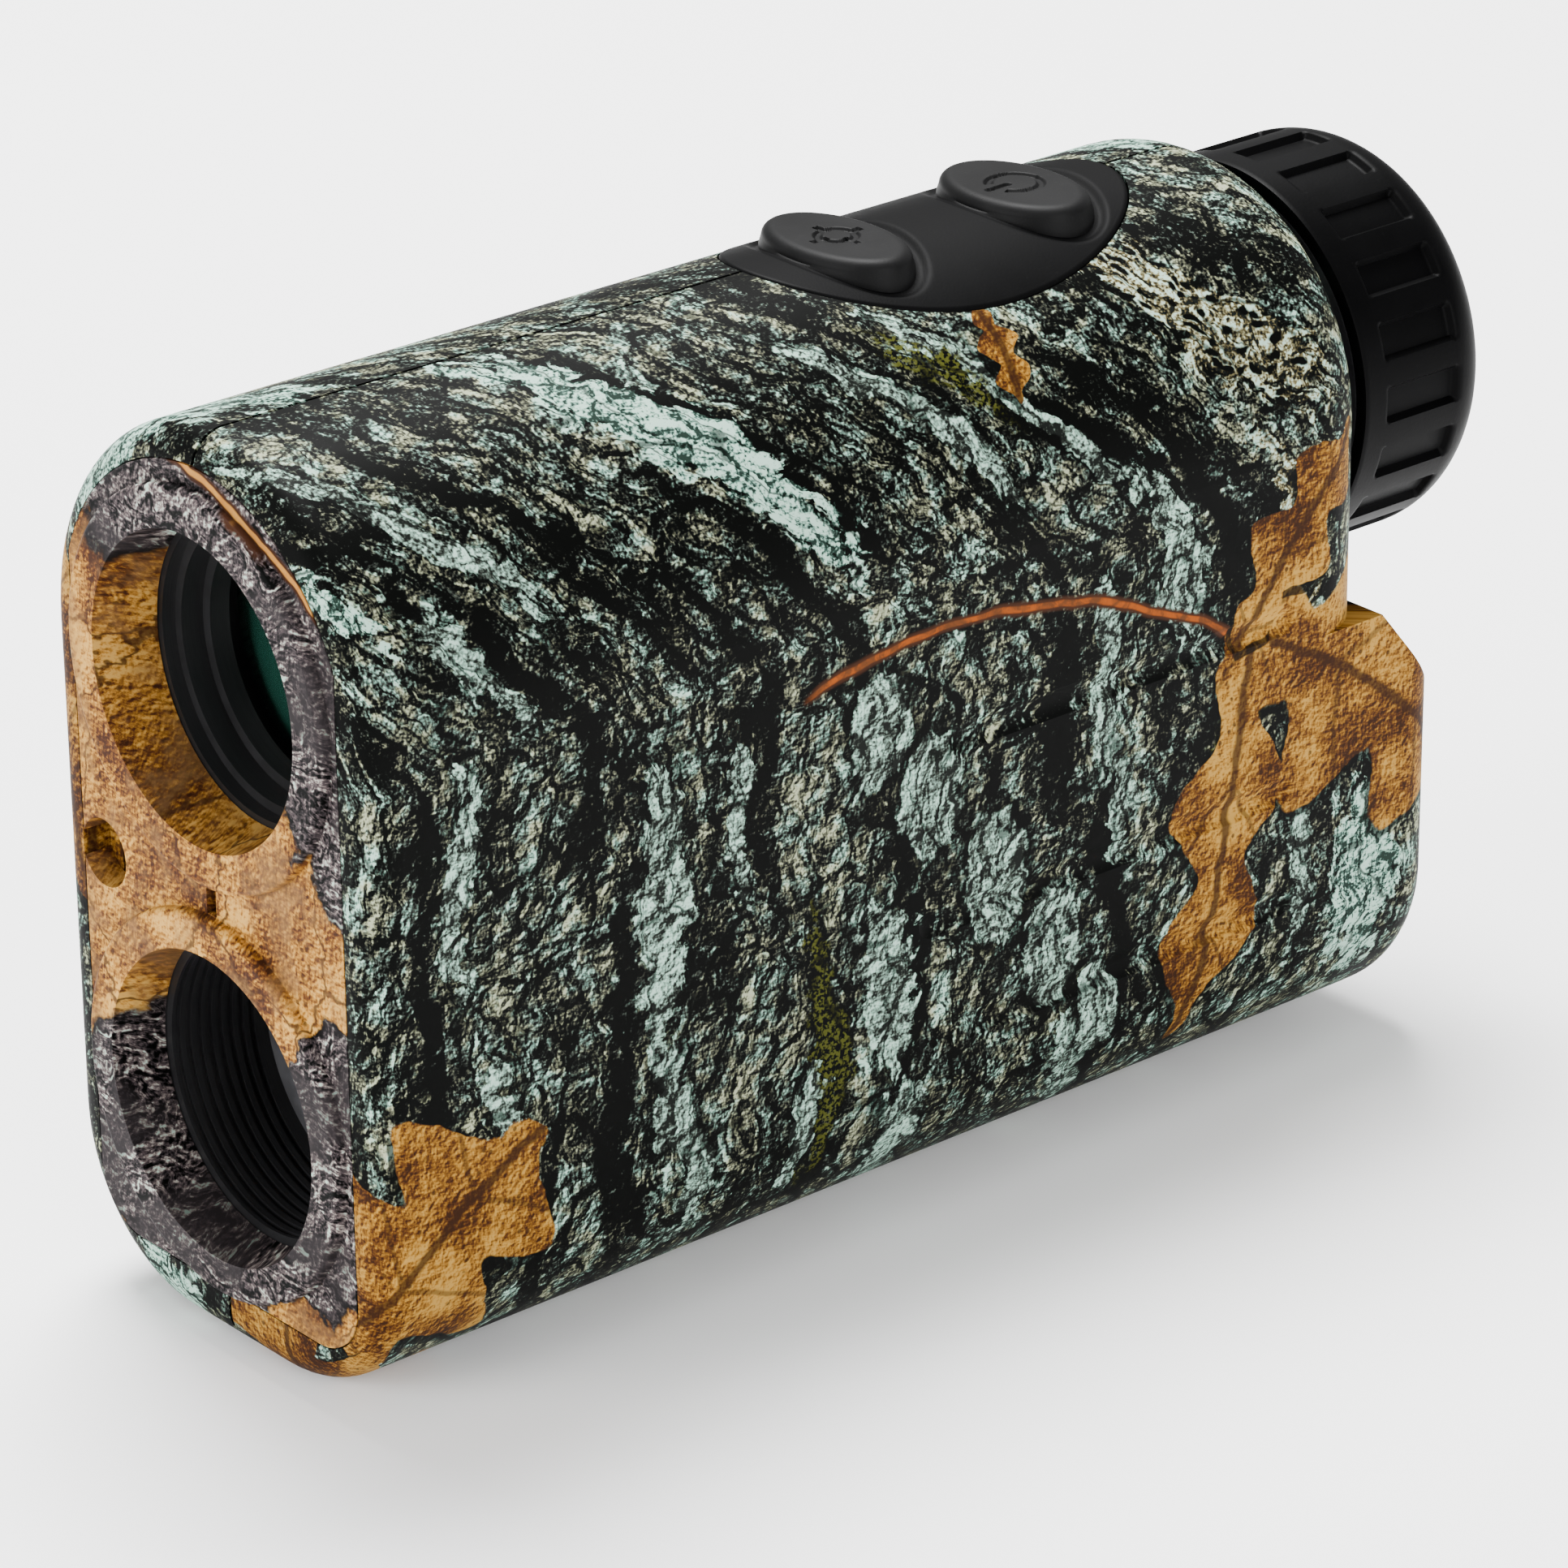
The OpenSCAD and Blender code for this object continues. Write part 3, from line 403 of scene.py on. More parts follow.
def bark(graph, flat, strand):
    """Weathered bark: flakes with lit edges, furrows, ridges, lichen and moss. Also its height."""
    bent = graph.vmath("ADD", strand, jitter(graph, flat, 0.05, 5.0, 2.0))
    torn = graph.vmath("ADD", bent, jitter(graph, flat, 0.40, 1.5, 4.0))
    grown = graph.vmath("ADD", strand, jitter(graph, flat, 0.085, 5.5))
    grown = graph.vmath("ADD", grown, jitter(graph, flat, 0.6, 1.6))

    def long_noise(along, down, shift, detail=4.0):
        drawn = graph.vmath("MULTIPLY", torn, (along, down, 0.0))
        moved = graph.vmath("ADD", drawn, (shift, shift, shift))
        return graph.noise(moved, 1.0, detail, 0.6)

    drawn_out = graph.vmath("MULTIPLY", torn, (1.0, 0.7, 0.0))
    crumbs, crumb_edge = relief(graph, drawn_out, 0.60, 6.0, 0.66, 0.30)
    grit, grit_edge = relief(graph, flat, 2.3, 3.0, 0.6, 0.14)
    furrow = long_noise(0.14, 0.045, 0.0, 3.0)
    plates = long_noise(0.24, 0.09, 7.0)
    slab_tone, slab_gap = flakes(graph, torn, (3.0, 5.5), 0.10)
    flake_tone, flake_gap = flakes(graph, torn, (1.3, 2.0), 0.12)
    gaps = graph.math("MAXIMUM", slab_gap, graph.times(flake_gap, 0.6))

    ridge_at = marks(graph, grown, RIDGES)
    furrow_at = marks(graph, grown, FURROWS)

    # Every term is centred on 0; the last one sets the middle tone
    tone = graph.total(spread(graph, crumbs, 0.8), spread(graph, grit, 0.35),
                       spread(graph, slab_tone, 0.16), spread(graph, flake_tone, 0.14),
                       graph.times(crumb_edge, 2.3), graph.times(grit_edge, 1.5),
                       graph.times(gaps, -0.40), 0.56)
    in_furrow = graph.step(furrow_at, -0.45, 0.25)
    wood = graph.total(tone, spread(graph, furrow, 1.1), spread(graph, plates, 1.3),
                       graph.times(in_furrow, -0.50))
    warmth = graph.step(graph.noise(flat, 0.35, 4.0, 0.65), 0.44, 0.56)
    colour = graph.mix(graph.times(warmth, 0.8), graph.ramp(wood, COOL_BARK), graph.ramp(wood, WARM_BARK))

    ragged = spread(graph, crumbs, 2.2)
    ridge_edge = graph.math("ADD", ridge_at, ragged)
    colour = graph.mix(graph.times(graph.step(ridge_edge, -0.40, -0.10), 0.75), colour, BLACK)
    ridge_mask = graph.step(ridge_edge, -0.04, 0.10)
    ridge_tone = graph.ramp(graph.math("ADD", tone, spread(graph, plates, 0.5)), RIDGE_TONES)
    colour = graph.mix(ridge_mask, colour, ridge_tone)

    lying = graph.vmath("ADD", flat, jitter(graph, flat, 0.5, 1.2))
    branch_at = graph.math("ADD", marks(graph, lying, BRANCH), graph.times(ragged, 0.35))
    colour = graph.mix(graph.times(graph.step(branch_at, -0.20, -0.02), 0.85), colour, BLACK)
    colour = graph.mix(graph.step(branch_at, 0.0, 0.10), colour, ridge_tone)

    lichen_at = graph.math("ADD", marks(graph, grown, LICHENS), graph.times(ragged, 1.3))
    lichen_mask = graph.step(lichen_at, 0.0, 0.14)
    colour = graph.mix(lichen_mask, colour, graph.ramp(tone, LICHEN_TONES))

    canker_at = graph.math("ADD", marks(graph, grown, CANKERS), graph.times(ragged, 1.2))
    pits = graph.step(graph.cells(torn, 0.55), 0.20, 0.36)
    canker_tone = graph.mix(pits, BLACK, graph.ramp(tone, CANKER_TONES))
    colour = graph.mix(graph.step(canker_at, 0.0, 0.14), colour, canker_tone)

    moss_at = graph.math("ADD", marks(graph, grown, MOSSES), ragged)
    moss_mask = graph.times(graph.step(moss_at, -0.1, 0.4), graph.step(grit, 0.47, 0.56))
    colour = graph.mix(graph.times(moss_mask, 0.85), colour, MOSS)

    stretched = graph.vmath("MULTIPLY", torn, (0.30, 0.085, 0.0))
    cracks = graph.cells(stretched, 1.0, "DISTANCE_TO_EDGE")
    crack_mask = graph.fade(cracks, 0.010, 0.050)
    colour = graph.mix(graph.times(crack_mask, 0.8), colour, BLACK)
    return colour, crumbs


def leaf_skin(graph, flat, veins):
    """Dry leaf: tan and orange-brown blotches with a fine grain, freckles and dark veins."""
    grain, edge = relief(graph, flat, 1.7, 4.0, 0.65, 0.15)
    blotch = graph.noise(flat, 0.13, 4.0, 0.62)
    tone = graph.total(spread(graph, grain, 0.8), graph.times(edge, 1.3),
                       spread(graph, blotch, 2.3), 0.53)
    colour = graph.ramp(tone, LEAF_TONES)
    freckles = graph.fade(graph.cells(flat, 0.75), 0.10, 0.20)
    rare = graph.step(graph.noise(flat, 0.35, 2.0, 0.5), 0.52, 0.60)
    colour = graph.mix(graph.times(graph.times(freckles, rare), 0.8), colour, UMBER)
    return graph.mix(graph.times(veins, 0.85), colour, UMBER)


def add_leaves(graph, colour, flat, u, v, leaves):
    """Lays leaves over the bark, each with a dark shadow along its lower edge."""
    wander = jitter(graph, flat, 0.35, 0.6, 2.0)
    leaf_u, leaf_v, _ = graph.split(graph.vmath("ADD", graph.vector(u, v), wander))
    for spot, turn, size in leaves:
        shaded, _ = leaf(graph, leaf_u, leaf_v, (spot[0] - 0.5, spot[1] - 0.8), turn, size)
        colour = graph.mix(graph.times(shaded, 0.85), colour, BLACK)
        inside, veins = leaf(graph, leaf_u, leaf_v, spot, turn, size)
        # Painted shade: the leaf colour on the shells is darkened as if in shade
        shaded_leaf_skin = graph.mix(1.0, leaf_skin(graph, flat, veins), SHELL_LEAF_SHADE, "MULTIPLY")
        colour = graph.mix(inside, colour, shaded_leaf_skin)
    return colour


def finish_print(graph, shader, colour, height):
    """Matt lacquer over the print."""
    graph.put(shader.inputs["Base Color"], colour)
    graph.put(shader.inputs["Roughness"], graph.math("ADD", 0.44, graph.times(height, 0.2)))
    shader.inputs["Specular IOR Level"].default_value = 0.03
    graph.put(shader.inputs["Normal"], graph.bump(height, 0.25, 0.00005))


def camo_shell(name):
    """Printed bark and leaf pattern of the shells; the far side carries it turned about."""
    material, graph, shader = new_material(name)
    u, v, far = wrapped(graph)
    flat = graph.vector(graph.math("ADD", u, graph.times(far, GRAIN_SHIFT)), v)
    lean = graph.times(graph.math("MAXIMUM", graph.math("SUBTRACT", v, LEAN_FROM), 0.0), LEAN)
    colour, crumbs = bark(graph, flat, graph.vector(graph.math("ADD", u, lean), v))

    shifted = graph.math("SUBTRACT", u, TWIG_TOP[0])
    line = graph.math("SUBTRACT", TWIG_TOP[1], graph.times(graph.times(shifted, shifted), TWIG_FALL))
    wobble = spread(graph, graph.noise(flat, 0.12, 2.0, 0.5), 2.0)
    off = graph.math("ABSOLUTE", graph.math("SUBTRACT", graph.math("ADD", v, wobble), line))
    on_twig = graph.times(graph.step(u, TWIG_ENDS[0], TWIG_ENDS[0] + 2),
                         graph.fade(u, TWIG_ENDS[1] - 1, TWIG_ENDS[1]))
    shade = graph.times(graph.fade(off, *TWIG_SHADE), on_twig)
    twig = graph.times(graph.fade(off, *TWIG_WOOD), on_twig)
    colour = graph.mix(shade, colour, UMBER)
    colour = graph.mix(twig, colour, graph.mix(graph.step(crumbs, 0.40, 0.62), RUST, EMBER))

    colour = add_leaves(graph, colour, flat, u, v, LEAVES)
    finish_print(graph, shader, colour, crumbs)
    return material


def camo_panel(name):
    """Print of the front panel: mostly dry leaf, with dark bark at its top and by the lower bore."""
    material, graph, shader = new_material(name)
    x, y, z = graph.split(place(graph))
    u = graph.math("ADD", x, graph.times(y, 0.6))
    v = graph.math("ADD", z, graph.times(y, 0.35))
    flat = graph.vector(u, v)
    streaks = graph.vmath("MULTIPLY", flat, (0.55, 1.1, 0.0))
    streaks = graph.vmath("ADD", streaks, jitter(graph, flat, 0.16, 5.0, 4.0))
    crumbs, edge = relief(graph, streaks, 0.8, 6.0, 0.68, 0.30)
    grit, grit_edge = relief(graph, flat, 2.0, 3.0, 0.6, 0.14)
    tone = graph.total(spread(graph, crumbs, 1.4), graph.times(edge, 2.4),
                       graph.times(grit_edge, 1.4), 0.44)
    colour = graph.ramp(tone, PANEL_BARK)
    calm = graph.step(graph.noise(flat, 0.09, 2.0, 0.5), 0.47, 0.56)
    colour = graph.mix(graph.times(calm, 0.75), colour, DUSK)
    place_at = graph.vmath("ADD", graph.vector(x, z), jitter(graph, flat, 0.16, 3.2))
    place_at = graph.vmath("ADD", place_at, jitter(graph, flat, 0.9, 0.7))
    bark_at = graph.math("MINIMUM", marks(graph, place_at, PANEL_BARKS),
                         graph.times(marks(graph, place_at, PANEL_LEAF_SPOTS), -1.0))
    leafy = graph.fade(bark_at, 0.0, 0.04)
    veins_at = graph.vmath("MULTIPLY", place_at, (0.085, 0.05, 0.0))
    veins = graph.fade(graph.cells(veins_at, 1.0, "DISTANCE_TO_EDGE"), 0.004, 0.018)
    dry = leaf_skin(graph, flat, veins)
    flushed = graph.step(graph.noise(flat, 0.16, 5.0, 0.7), 0.46, 0.60)
    flush = graph.mix(grit, UMBER, graph.mix(crumbs, MAUVE, SAND))
    dry = graph.mix(graph.times(flushed, 0.6), dry, flush)
    shadow = graph.fade(graph.math("ABSOLUTE", bark_at), 0.02, 0.10)
    colour = graph.mix(leafy, graph.mix(graph.times(shadow, 0.8), colour, BLACK), dry)
    run = graph.math("SUBTRACT", x, STEM_FOOT[0])
    fall = graph.times(run, graph.math("ADD", STEM_SLOPE, graph.times(run, STEM_FALL)))
    line = graph.math("SUBTRACT", STEM_FOOT[1], fall)
    wobble = spread(graph, graph.noise(flat, 0.25, 2.0, 0.5), 1.4)
    stem = graph.math("ABSOLUTE", graph.math("SUBTRACT", graph.math("ADD", z, wobble), line))
    on_stem = graph.step(x, *STEM_BEGINS)
    stem_shade = graph.times(graph.fade(stem, *STEM_SHADE), on_stem)
    stem_mask = graph.times(graph.fade(stem, *STEM_WOOD), on_stem)
    colour = graph.mix(stem_shade, colour, UMBER)
    colour = graph.mix(stem_mask, colour, graph.mix(crumbs, EMBER, SAND))
    finish_print(graph, shader, colour, crumbs)
    return material


# ---------------------------------------------------------------- other materials

def moulded(name, tint, rough=0.5, grain_mm=0.25, specular=0.4):
    """Moulded plastic or rubber with a fine texture and faint handling marks."""
    material, graph, shader = new_material(name)
    at = place(graph)
    grain = graph.noise(at, 1.0 / grain_mm, 3.0, 0.6)
    cloud = graph.noise(at, 0.12, 4.0, 0.6)
    dark = tuple(c * 0.72 for c in tint)
    light = tuple(c * 1.4 for c in tint)
    colour = graph.mix(graph.step(cloud, 0.3, 0.7), dark, light)
    speck = graph.step(graph.noise(at, 2.2, 2.0, 0.5), 0.66, 0.74)
    colour = graph.mix(graph.times(speck, 0.12), colour, tuple(min(1.0, c * 4 + 0.004) for c in tint))
    graph.put(shader.inputs["Base Color"], colour)
    worn = graph.times(graph.math("SUBTRACT", cloud, 0.5), 0.25)
    graph.put(shader.inputs["Roughness"], graph.math("ADD", worn, rough))
    shader.inputs["Specular IOR Level"].default_value = specular
    graph.put(shader.inputs["Normal"], graph.bump(grain, 0.35, 0.00003))
    return material


def turned_metal(name, tint, rough=0.35, metallic=1.0, axis=1):
    """Turned or drawn metal with fine rings along one axis."""
    material, graph, shader = new_material(name)
    at = place(graph)
    squeeze = [0.3, 0.3, 0.3]
    squeeze[axis] = 14.0
    lines = graph.noise(graph.vmath("MULTIPLY", at, tuple(squeeze)), 1.0, 3.0, 0.6)
    cloud = graph.noise(at, 0.3, 3.0, 0.6)
    dark = tuple(c * 0.75 for c in tint)
    light = tuple(min(1.0, c * 1.2) for c in tint)
    colour = graph.mix(graph.step(lines, 0.35, 0.65), dark, light)
    graph.put(shader.inputs["Base Color"], colour)
    graph.put(shader.inputs["Roughness"], graph.math("ADD", rough - 0.08, graph.times(cloud, 0.2)))
    shader.inputs["Metallic"].default_value = metallic
    graph.put(shader.inputs["Normal"], graph.bump(lines, 0.25, 0.00002))
    return material


def coated_glass(name, tint, coat, rough=0.04, clear=0.35):
    """Dark lens glass with a coloured coating; its tint, strengthening towards its rim, is a painted
    reflection, and it also varies in real smears.
    """
    material, graph, shader = new_material(name)
    facing = graph.add("ShaderNodeLayerWeight")
    facing.inputs["Blend"].default_value = 0.35
    smear = graph.noise(place(graph), 0.25, 4.0, 0.6)
    # Painted reflection: the coating's tint rises where the glass is seen at a glancing angle; the smear
    # part is the coating's own unevenness
    amount = graph.math("ADD", graph.times(facing.outputs["Facing"], 0.8),
                        graph.times(smear, 0.25), clamp=True)
    graph.put(shader.inputs["Base Color"], graph.mix(amount, tint, coat))
    graph.put(shader.inputs["Roughness"], graph.math("ADD", rough, graph.times(smear, 0.05)))
    shader.inputs["Transmission Weight"].default_value = clear
    shader.inputs["IOR"].default_value = 1.6
    shader.inputs["Coat Weight"].default_value = 0.6
    shader.inputs["Coat Roughness"].default_value = 0.03
    return material


def circuit(name):
    """Green solder mask with faint copper tracks."""
    material, graph, shader = new_material(name)
    at = place(graph)
    tracks = graph.cells(graph.vmath("MULTIPLY", at, (0.5, 0.5, 0.5)), 1.0, "DISTANCE_TO_EDGE")
    mask = graph.fade(tracks, 0.03, 0.07)
    cloud = graph.noise(at, 0.8, 3.0, 0.5)
    base = graph.mix(cloud, (0.008, 0.07, 0.03), (0.02, 0.13, 0.05))
    graph.put(shader.inputs["Base Color"], graph.mix(mask, base, (0.05, 0.24, 0.10)))
    shader.inputs["Roughness"].default_value = 0.35
    graph.put(shader.inputs["Normal"], graph.bump(mask, 0.3, 0.00003))
    return material


MATERIALS = {
    "camo_shell": camo_shell("camo_shell"),
    "camo_panel": camo_panel("camo_panel"),
    "key_rubber": moulded("key_rubber", (0.0034, 0.0034, 0.0035), 0.50, 0.22, specular=0.06),
    "pad_rubber": moulded("pad_rubber", (0.0008, 0.0008, 0.0009), 0.55, 0.22, specular=0.035),
    "ring_rubber": moulded("ring_rubber", (0.0005, 0.0005, 0.0006), 0.48, 0.3, specular=0.035),
    "dark_liner": moulded("dark_liner", (0.10, 0.085, 0.06), 0.6),
    "black_plastic": moulded("black_plastic", (0.02, 0.02, 0.02), 0.5),
    "steel": turned_metal("steel", (0.13, 0.13, 0.14), 0.35, axis=0),
    "circuit_board": circuit("circuit_board"),
    "chip_black": moulded("chip_black", (0.015, 0.015, 0.016), 0.45),
    "switch_metal": turned_metal("switch_metal", (0.55, 0.55, 0.56), 0.35),
    "black_metal": turned_metal("black_metal", (0.012, 0.012, 0.013), 0.4, 0.3),
    "grey_metal": turned_metal("grey_metal", (0.07, 0.07, 0.075), 0.4, 0.4),
    "coated_glass": coated_glass("coated_glass", (0.002, 0.006, 0.005), (0.02, 0.10, 0.07)),
    "dark_glass": coated_glass("dark_glass", (0.002, 0.003, 0.004), (0.02, 0.03, 0.04)),
    "clear_glass": coated_glass("clear_glass", (0.75, 0.82, 0.85), (0.35, 0.25, 0.5), clear=0.9),
    "brass_module": turned_metal("brass_module", (0.62, 0.42, 0.14), 0.3),
    "flex_cable": moulded("flex_cable", (0.45, 0.22, 0.04), 0.4),
    "seal_rubber": moulded("seal_rubber", (0.02, 0.02, 0.02), 0.5),
    "battery_wrap": moulded("battery_wrap", (0.10, 0.18, 0.30), 0.3, 0.5),
}


def dress(obj, material):
    """Gives an object one material."""
    obj.data.materials.clear()
    obj.data.materials.append(material)


def smooth(obj, degrees=35):
    """Smooth shading with sharp creases kept."""
    obj.data.shade_smooth()
    obj.data.set_sharp_from_angle(angle=math.radians(degrees))


SLOT_OF = {part["node"]: part["material_slot"] for part in frame["record"]["subparts"]}
for node_name, node in NODES.items():
    dress(node, MATERIALS[SLOT_OF[node_name]])
    smooth(node)


# ---------------------------------------------------------------- soft rubber pieces

def soft_step(low, high, value):
    """0 below low, 1 above high, smooth between."""
    t = min(1.0, max(0.0, (value - low) / (high - low)))
    return t * t * (3 - 2 * t)


def skin(name, rings, body, node, closed_end=True, material=None):
    """A smooth piece of rings of points, each with the same count; it stands for one CAD node."""
    count = len(rings[0])
    points = [point for ring in rings for point in ring]
    faces = []
    for start in range(0, (len(rings) - 1) * count, count):
        for i in range(count):
            after = (i + 1) % count
            faces.append((start + i, start + after, start + count + after, start + count + i))
    if closed_end:
        faces.append([(len(rings) - 1) * count + i for i in range(count)])
    mesh = bpy.data.meshes.new(name)
    mesh.from_pydata(points, [], faces)
    made = bpy.data.objects.new(name, mesh)
    bpy.context.scene.collection.objects.link(made)
    dress(made, MATERIALS[material or SLOT_OF[node]])
    smooth(made, 50)
    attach(made, body)
    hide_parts(node)
    return made


def near_segment(x, y, a, b):
    """Distance from a point to a segment."""
    along = Vector((b[0] - a[0], b[1] - a[1]))
    off = Vector((x - a[0], y - a[1]))
    t = min(1.0, max(0.0, off.dot(along) / along.length_squared))
    return (off - along * t).length


def power_sign(x, y):
    """Distance from the strokes of a broken ring with a bar in its gap."""
    ring = abs(math.hypot(x, y) - 2.1)
    if y < 0 and abs(x) < 0.55 * abs(y):
        ring = 9.0
    return min(ring, near_segment(x, y, (0, -0.8), (0, -2.7)))


def aim_sign(x, y):
    """Distance from the strokes of a plain aiming mark: a ring with four ticks."""
    ring = abs(math.hypot(x, y) - 1.5)
    reach = max(abs(x), abs(y))
    tick = min(abs(x), abs(y)) if 1.0 < reach < 2.5 else 9.0
    return min(ring, tick)


# A key: rounding of its edge, rise of its middle, lean of its wall and sink of its foot into the pad
KEY_EDGE = 1.0
KEY_DOME = 0.06
KEY_LEAN = 0.22
SKIRT_SINK = 0.05
# Depth and half width of a sign's strokes, and the softness of their walls
SIGN_DEPTH = 0.26
SIGN_HALF = 0.30
SIGN_WALL = 0.1


def key_cap(name, node, body, sign):
    """Pebble-like rubber key with a soft edge and a sunk sign."""
    low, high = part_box(node)
    middle = (low + high) / 2
    half = ((high.x - low.x) / 2 / MM, (high.y - low.y) / 2 / MM)
    top = high.z / MM
    count = 224
    rings = []
    for inset, share in ((0.0, 0.0), (0.05, 0.5), (KEY_LEAN, 1.0)):
        def side(x, y, share=share):
            foot = crown_height(x) - TRENCH_DEPTH - SKIRT_SINK
            return foot + (top - KEY_EDGE - foot) * share
        rings.append(key_ring(half, inset, side, middle, count))
    for turn in (math.pi / 2 * i / 8 for i in range(1, 9)):
        inset = KEY_LEAN + KEY_EDGE * (1 - math.cos(turn))
        level = top - KEY_DOME - KEY_EDGE * (1 - math.sin(turn))
        rings.append(key_ring(half, inset, lambda x, y, level=level: level, middle, count))
    start = inset
    steps = 44
    for k in range(1, steps):
        inset = start + (half[1] - start) * k / steps
        dome = KEY_DOME * soft_step(0.0, 1.0, k / steps)

        def height(x, y, dome=dome):
            sunk = 1 - soft_step(SIGN_HALF - SIGN_WALL, SIGN_HALF + SIGN_WALL, sign(x, y))
            return top - KEY_DOME + dome - SIGN_DEPTH * sunk
        rings.append(key_ring(half, inset, height, middle, count))
    return skin(name, rings, body, node)


def key_ring(half, inset, height, middle, count):
    """One ring of a key: its outline drawn in by inset, narrowing to a short line at the middle."""
    share = 1 - inset / half[1]
    a = half[0] - inset * half[0] / half[1] * (1 - share) - inset * share
    b = half[1] - inset
    ring = []
    for i in range(count):
        turn = 2 * math.pi * i / count
        x, y = a * math.cos(turn), b * math.sin(turn)
        ring.append((middle.x + x * MM, middle.y + y * MM, height(x, y) * MM))
    return ring


PAD_LOW, PAD_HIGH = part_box("button_pad")
PAD_Z = PAD_HIGH.z / MM
PAD_HALF_W = PAD_HIGH.x / MM
PAD_WIDEST_Y = 11.3
TRENCH_DEPTH = 0.45
TRENCH_W = 1.3
# Half width, half length and place along the body of each key
KEY_OVALS = [(high.x / MM, (high.y - low.y) / 2 / MM, (low.y + high.y) / 2 / MM)
             for low, high in (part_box("mode_button"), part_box("power_button"))]


def crown_height(x):
    """Height of the pad's crown."""
    crown_r = PAD_Z - VIEW_Z / MM
    return VIEW_Z / MM + math.sqrt(crown_r * crown_r - x * x)


def pad_height(x, y):
    """Height of the pad's top: its crown with a soft trench round each key."""
    z = crown_height(x)
    for a, b, key_y in KEY_OVALS:
        dy = y - key_y
        share = math.hypot(x / a, dy / b)
        away = math.hypot(x, dy) * (1 - 1 / share) if share > 0.2 else -9.0
        z -= TRENCH_DEPTH * (1 - soft_step(0.3, TRENCH_W, away))
    return z


def button_pad():
    """Egg-shaped rubber pad, almost flush with the shells."""
    count, steps = 260, 110
    ahead = PAD_WIDEST_Y - PAD_LOW.y / MM
    behind = PAD_HIGH.y / MM - PAD_WIDEST_Y
    # Share of the outline, and drop below the top in mm
    wall = [(1.0, 0.9), (1.0, 0.22), (0.993, 0.06)]
    top = [(1 - 0.015 - 0.98 * k / steps, 0.0) for k in range(steps)]
    rings = []
    for share, drop in wall + top:
        ring = []
        for i in range(count):
            turn = 2 * math.pi * i / count
            x = PAD_HALF_W * share * math.cos(turn)
            y = PAD_WIDEST_Y + (ahead if math.sin(turn) < 0 else behind) * share * math.sin(turn)
            ring.append((x * MM, y * MM, (pad_height(x, y) - drop) * MM))
        rings.append(ring)
    return skin("pad_skin", rings, "housing", "button_pad", material="pad_rubber")


CUP_LOW, CUP_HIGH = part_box("eyecup")
CUP_R = CUP_HIGH.x / MM
CUP_FRONT = CUP_LOW.y / MM
CUP_REAR = CUP_HIGH.y / MM
CUP_HOLE_R = 12.0
CUP_RIM_R = 4.5
CUP_EDGE = 0.35
POCKETS = 20
POCKET_W = 3.0
POCKET_FROM = 2.6
POCKET_LEN = 8.0
POCKET_DEPTH = 0.6


def pocket(turn, y):
    """Depth of the grip pockets at a turn about the eyepiece and a place along it."""
    pitch = 2 * math.pi / POCKETS
    off = abs((turn + pitch / 2) % pitch - pitch / 2) * CUP_R
    across = 1 - soft_step(POCKET_W / 2 - 0.25, POCKET_W / 2 + 0.12, off)
    start = CUP_FRONT + POCKET_FROM
    end = start + POCKET_LEN
    past_start = soft_step(start - 0.12, start + 0.25, y)
    before_end = 1 - soft_step(end - 0.3, end + 0.15, y)
    return POCKET_DEPTH * across * past_start * before_end


def eyecup():
    """Turned rubber cup with a rounded rim and soft-edged grip pockets."""
    count = POCKETS * 30
    # Radius, and place along the body
    profile = [(CUP_HOLE_R + 3.9, CUP_FRONT + 0.02), (CUP_R - CUP_EDGE, CUP_FRONT),
               (CUP_R - 0.08, CUP_FRONT + 0.08), (CUP_R, CUP_FRONT + CUP_EDGE)]
    straight = CUP_REAR - CUP_RIM_R - CUP_FRONT - CUP_EDGE
    profile += [(CUP_R, CUP_FRONT + CUP_EDGE + straight * k / 56) for k in range(1, 57)]
    for k in range(1, 17):
        a = math.pi / 2 * k / 16
        inset = CUP_RIM_R * (1 - math.cos(a))
        short = CUP_RIM_R * (1 - math.sin(a))
        profile.append((CUP_R - inset, CUP_REAR - short))
    profile += [(CUP_HOLE_R + 0.15, CUP_REAR - 0.03), (CUP_HOLE_R, CUP_REAR - 0.2),
                (CUP_HOLE_R, CUP_REAR - CUP_RIM_R + 0.1)]
    rings = []
    for r, y in profile:
        ring = []
        for i in range(count):
            turn = 2 * math.pi * i / count
            left = (r - pocket(turn, y) if r > CUP_R - 1 else r) * MM
            ring.append((left * math.sin(turn), y * MM, VIEW_Z + left * math.cos(turn)))
        rings.append(ring)
    return skin("eyecup_skin", rings, "diopter", "eyecup", closed_end=False)


key_cap("mode_cap", "mode_button", "mode_key", aim_sign)
key_cap("power_cap", "power_button", "power_key", power_sign)
button_pad()
eyecup()


# ---------------------------------------------------------------- stage, light and camera

# The camera's turn about the object, its height angle, its roll, its distance and its aim
CAMERA_TURN = math.radians(49.77)
CAMERA_RISE = math.radians(24.09)
CAMERA_ROLL = math.radians(-0.55)
CAMERA_DISTANCE = 0.5075
LENS_MM = 158.4
# Offset of the middle of the picture from the front end of the view axis, to the right and up
AIM_RIGHT = 0.04367
AIM_UP = -0.00673


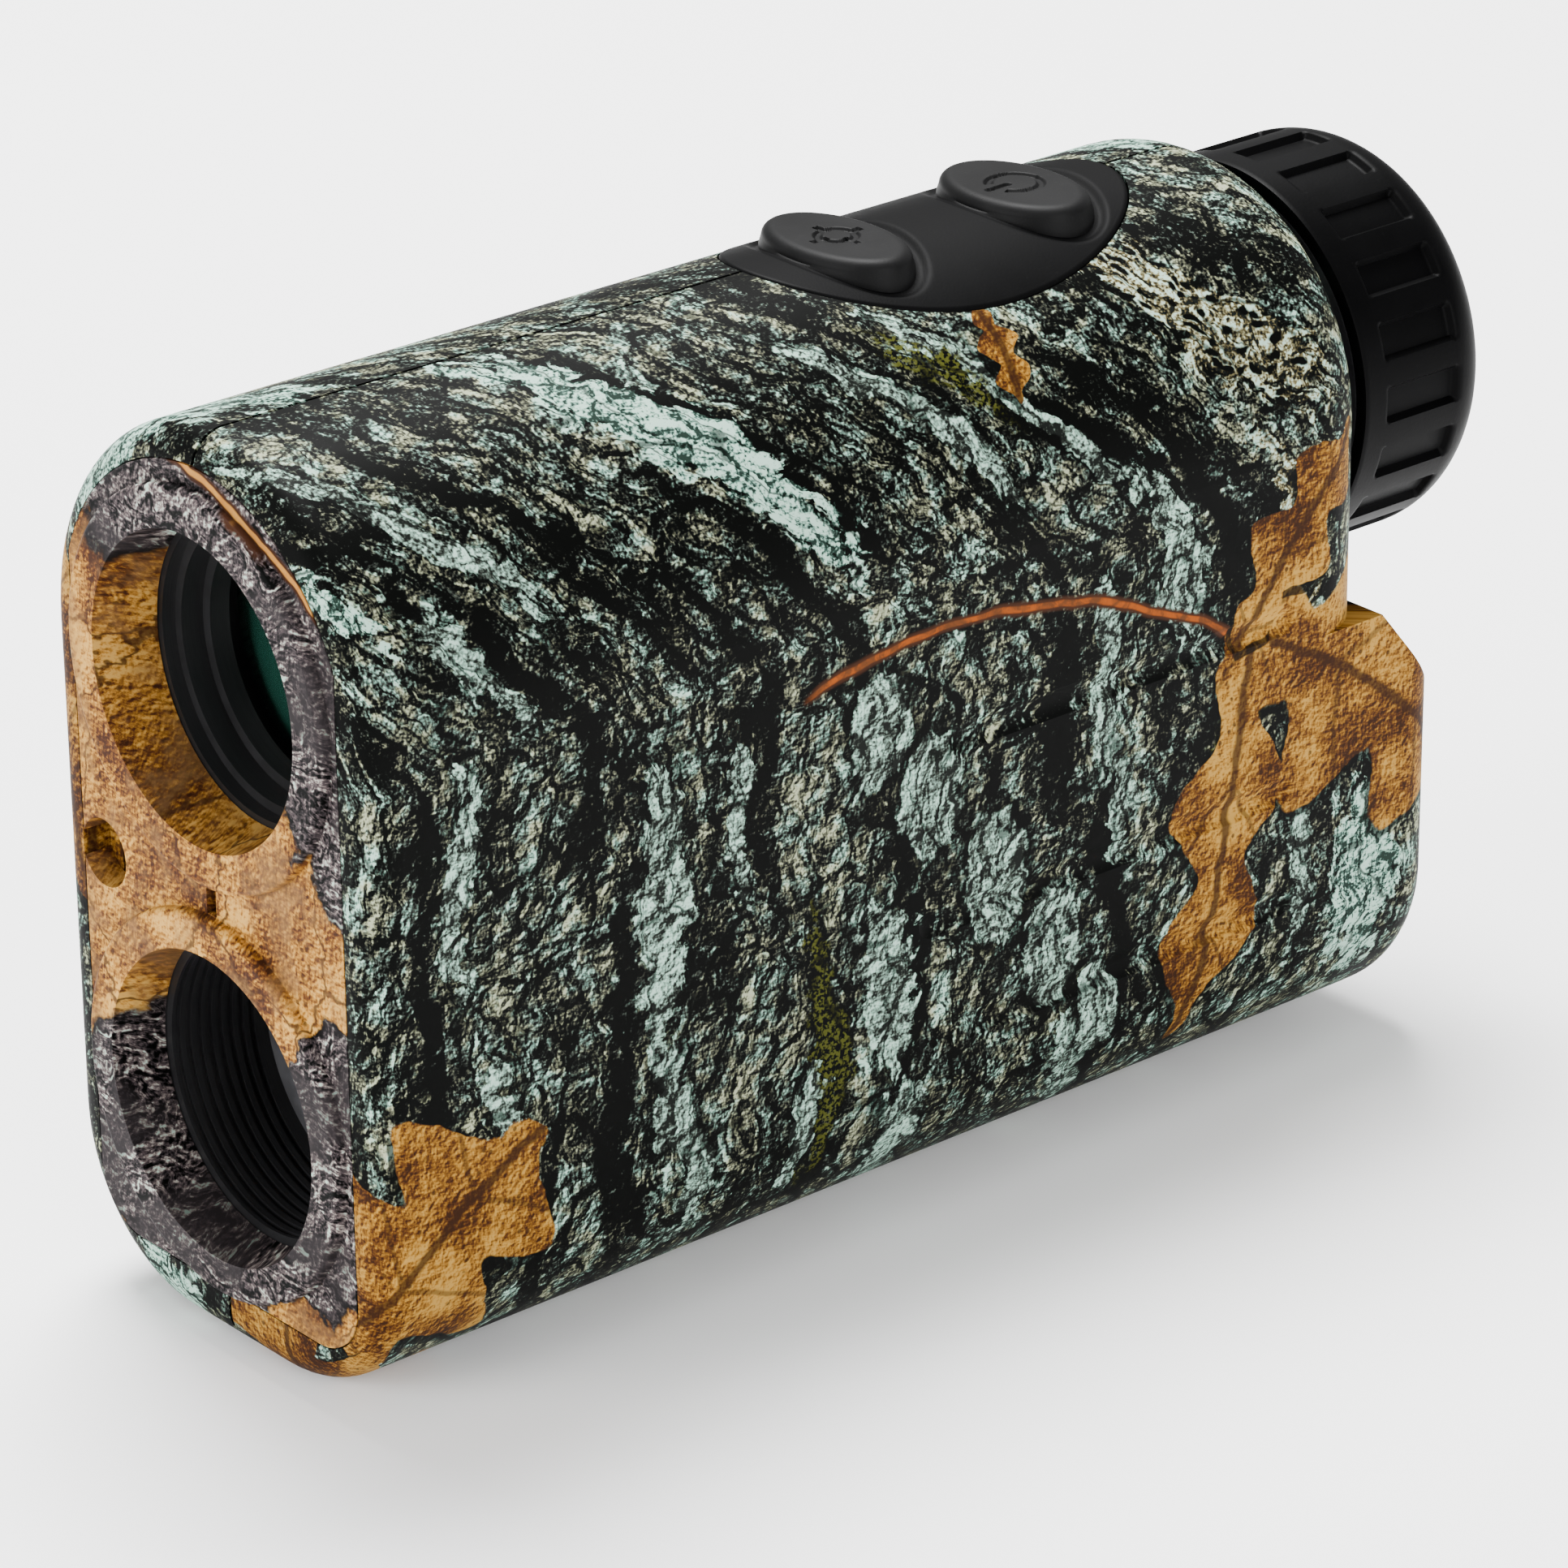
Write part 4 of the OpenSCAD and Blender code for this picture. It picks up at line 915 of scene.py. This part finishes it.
def camera():
    """Long lens at the angle the object is usually pictured from."""
    back = Vector((math.sin(CAMERA_TURN) * math.cos(CAMERA_RISE),
                   -math.cos(CAMERA_TURN) * math.cos(CAMERA_RISE), math.sin(CAMERA_RISE)))
    level = Vector((math.cos(CAMERA_TURN), math.sin(CAMERA_TURN), 0.0))
    upright = back.cross(level)
    right = level * math.cos(CAMERA_ROLL) + upright * math.sin(CAMERA_ROLL)
    up = upright * math.cos(CAMERA_ROLL) - level * math.sin(CAMERA_ROLL)
    start = Vector((0.0, cad_box[0][1], VIEW_Z))
    where = start + right * AIM_RIGHT + up * AIM_UP + back * CAMERA_DISTANCE
    data = bpy.data.cameras.new("camera")
    data.lens = LENS_MM
    data.sensor_width = 36.0
    data.clip_end = 20.0
    data.clip_start = 0.01
    made = bpy.data.objects.new("camera", data)
    bpy.context.scene.collection.objects.link(made)
    made.matrix_world = Matrix.Translation(where) @ Matrix((right, up, back)).transposed().to_4x4()
    bpy.context.scene.camera = made


# Point that the lamps are aimed at
AIM = (0.0, 0.0, 0.035)


def soft_light(name, where, size, watts):
    """Rectangular lamp aimed at the middle of the object."""
    data = bpy.data.lights.new(name, "AREA")
    data.shape = "RECTANGLE"
    data.size, data.size_y = size
    data.energy = watts
    made = bpy.data.objects.new(name, data)
    bpy.context.scene.collection.objects.link(made)
    made.location = where
    made.rotation_euler = (Vector(where) - Vector(AIM)).to_track_quat("Z", "Y").to_euler()


def floor():
    """Plain pale sheet under the object."""
    size = 6.0
    mesh = bpy.data.meshes.new("floor")
    corners = [(-size, -size, 0), (size, -size, 0), (size, size, 0), (-size, size, 0)]
    mesh.from_pydata(corners, [], [(0, 1, 2, 3)])
    made = bpy.data.objects.new("floor", mesh)
    bpy.context.scene.collection.objects.link(made)
    made.location.z = -0.0002
    material, graph, shader = new_material("floor")
    tone = graph.noise(place(graph), 0.002, 2.0, 0.5)
    graph.put(shader.inputs["Base Color"], graph.mix(tone, (0.93, 0.93, 0.93), (0.96, 0.96, 0.96)))
    shader.inputs["Roughness"].default_value = 0.75
    dress(made, material)


camera()
floor()
soft_light("key", (-0.32, 0.16, 0.85), (0.45, 0.45), 34.0)
soft_light("side", (0.75, -0.15, 0.30), (0.5, 0.5), 7.0)
soft_light("front", (-0.10, -0.80, 0.30), (0.5, 0.4), 9.0)
world = bpy.data.worlds.new("studio")
bpy.context.scene.world = world
world.use_nodes = True
world.node_tree.nodes["Background"].inputs["Color"].default_value = (1.0, 1.0, 1.0, 1.0)
world.node_tree.nodes["Background"].inputs["Strength"].default_value = 0.7
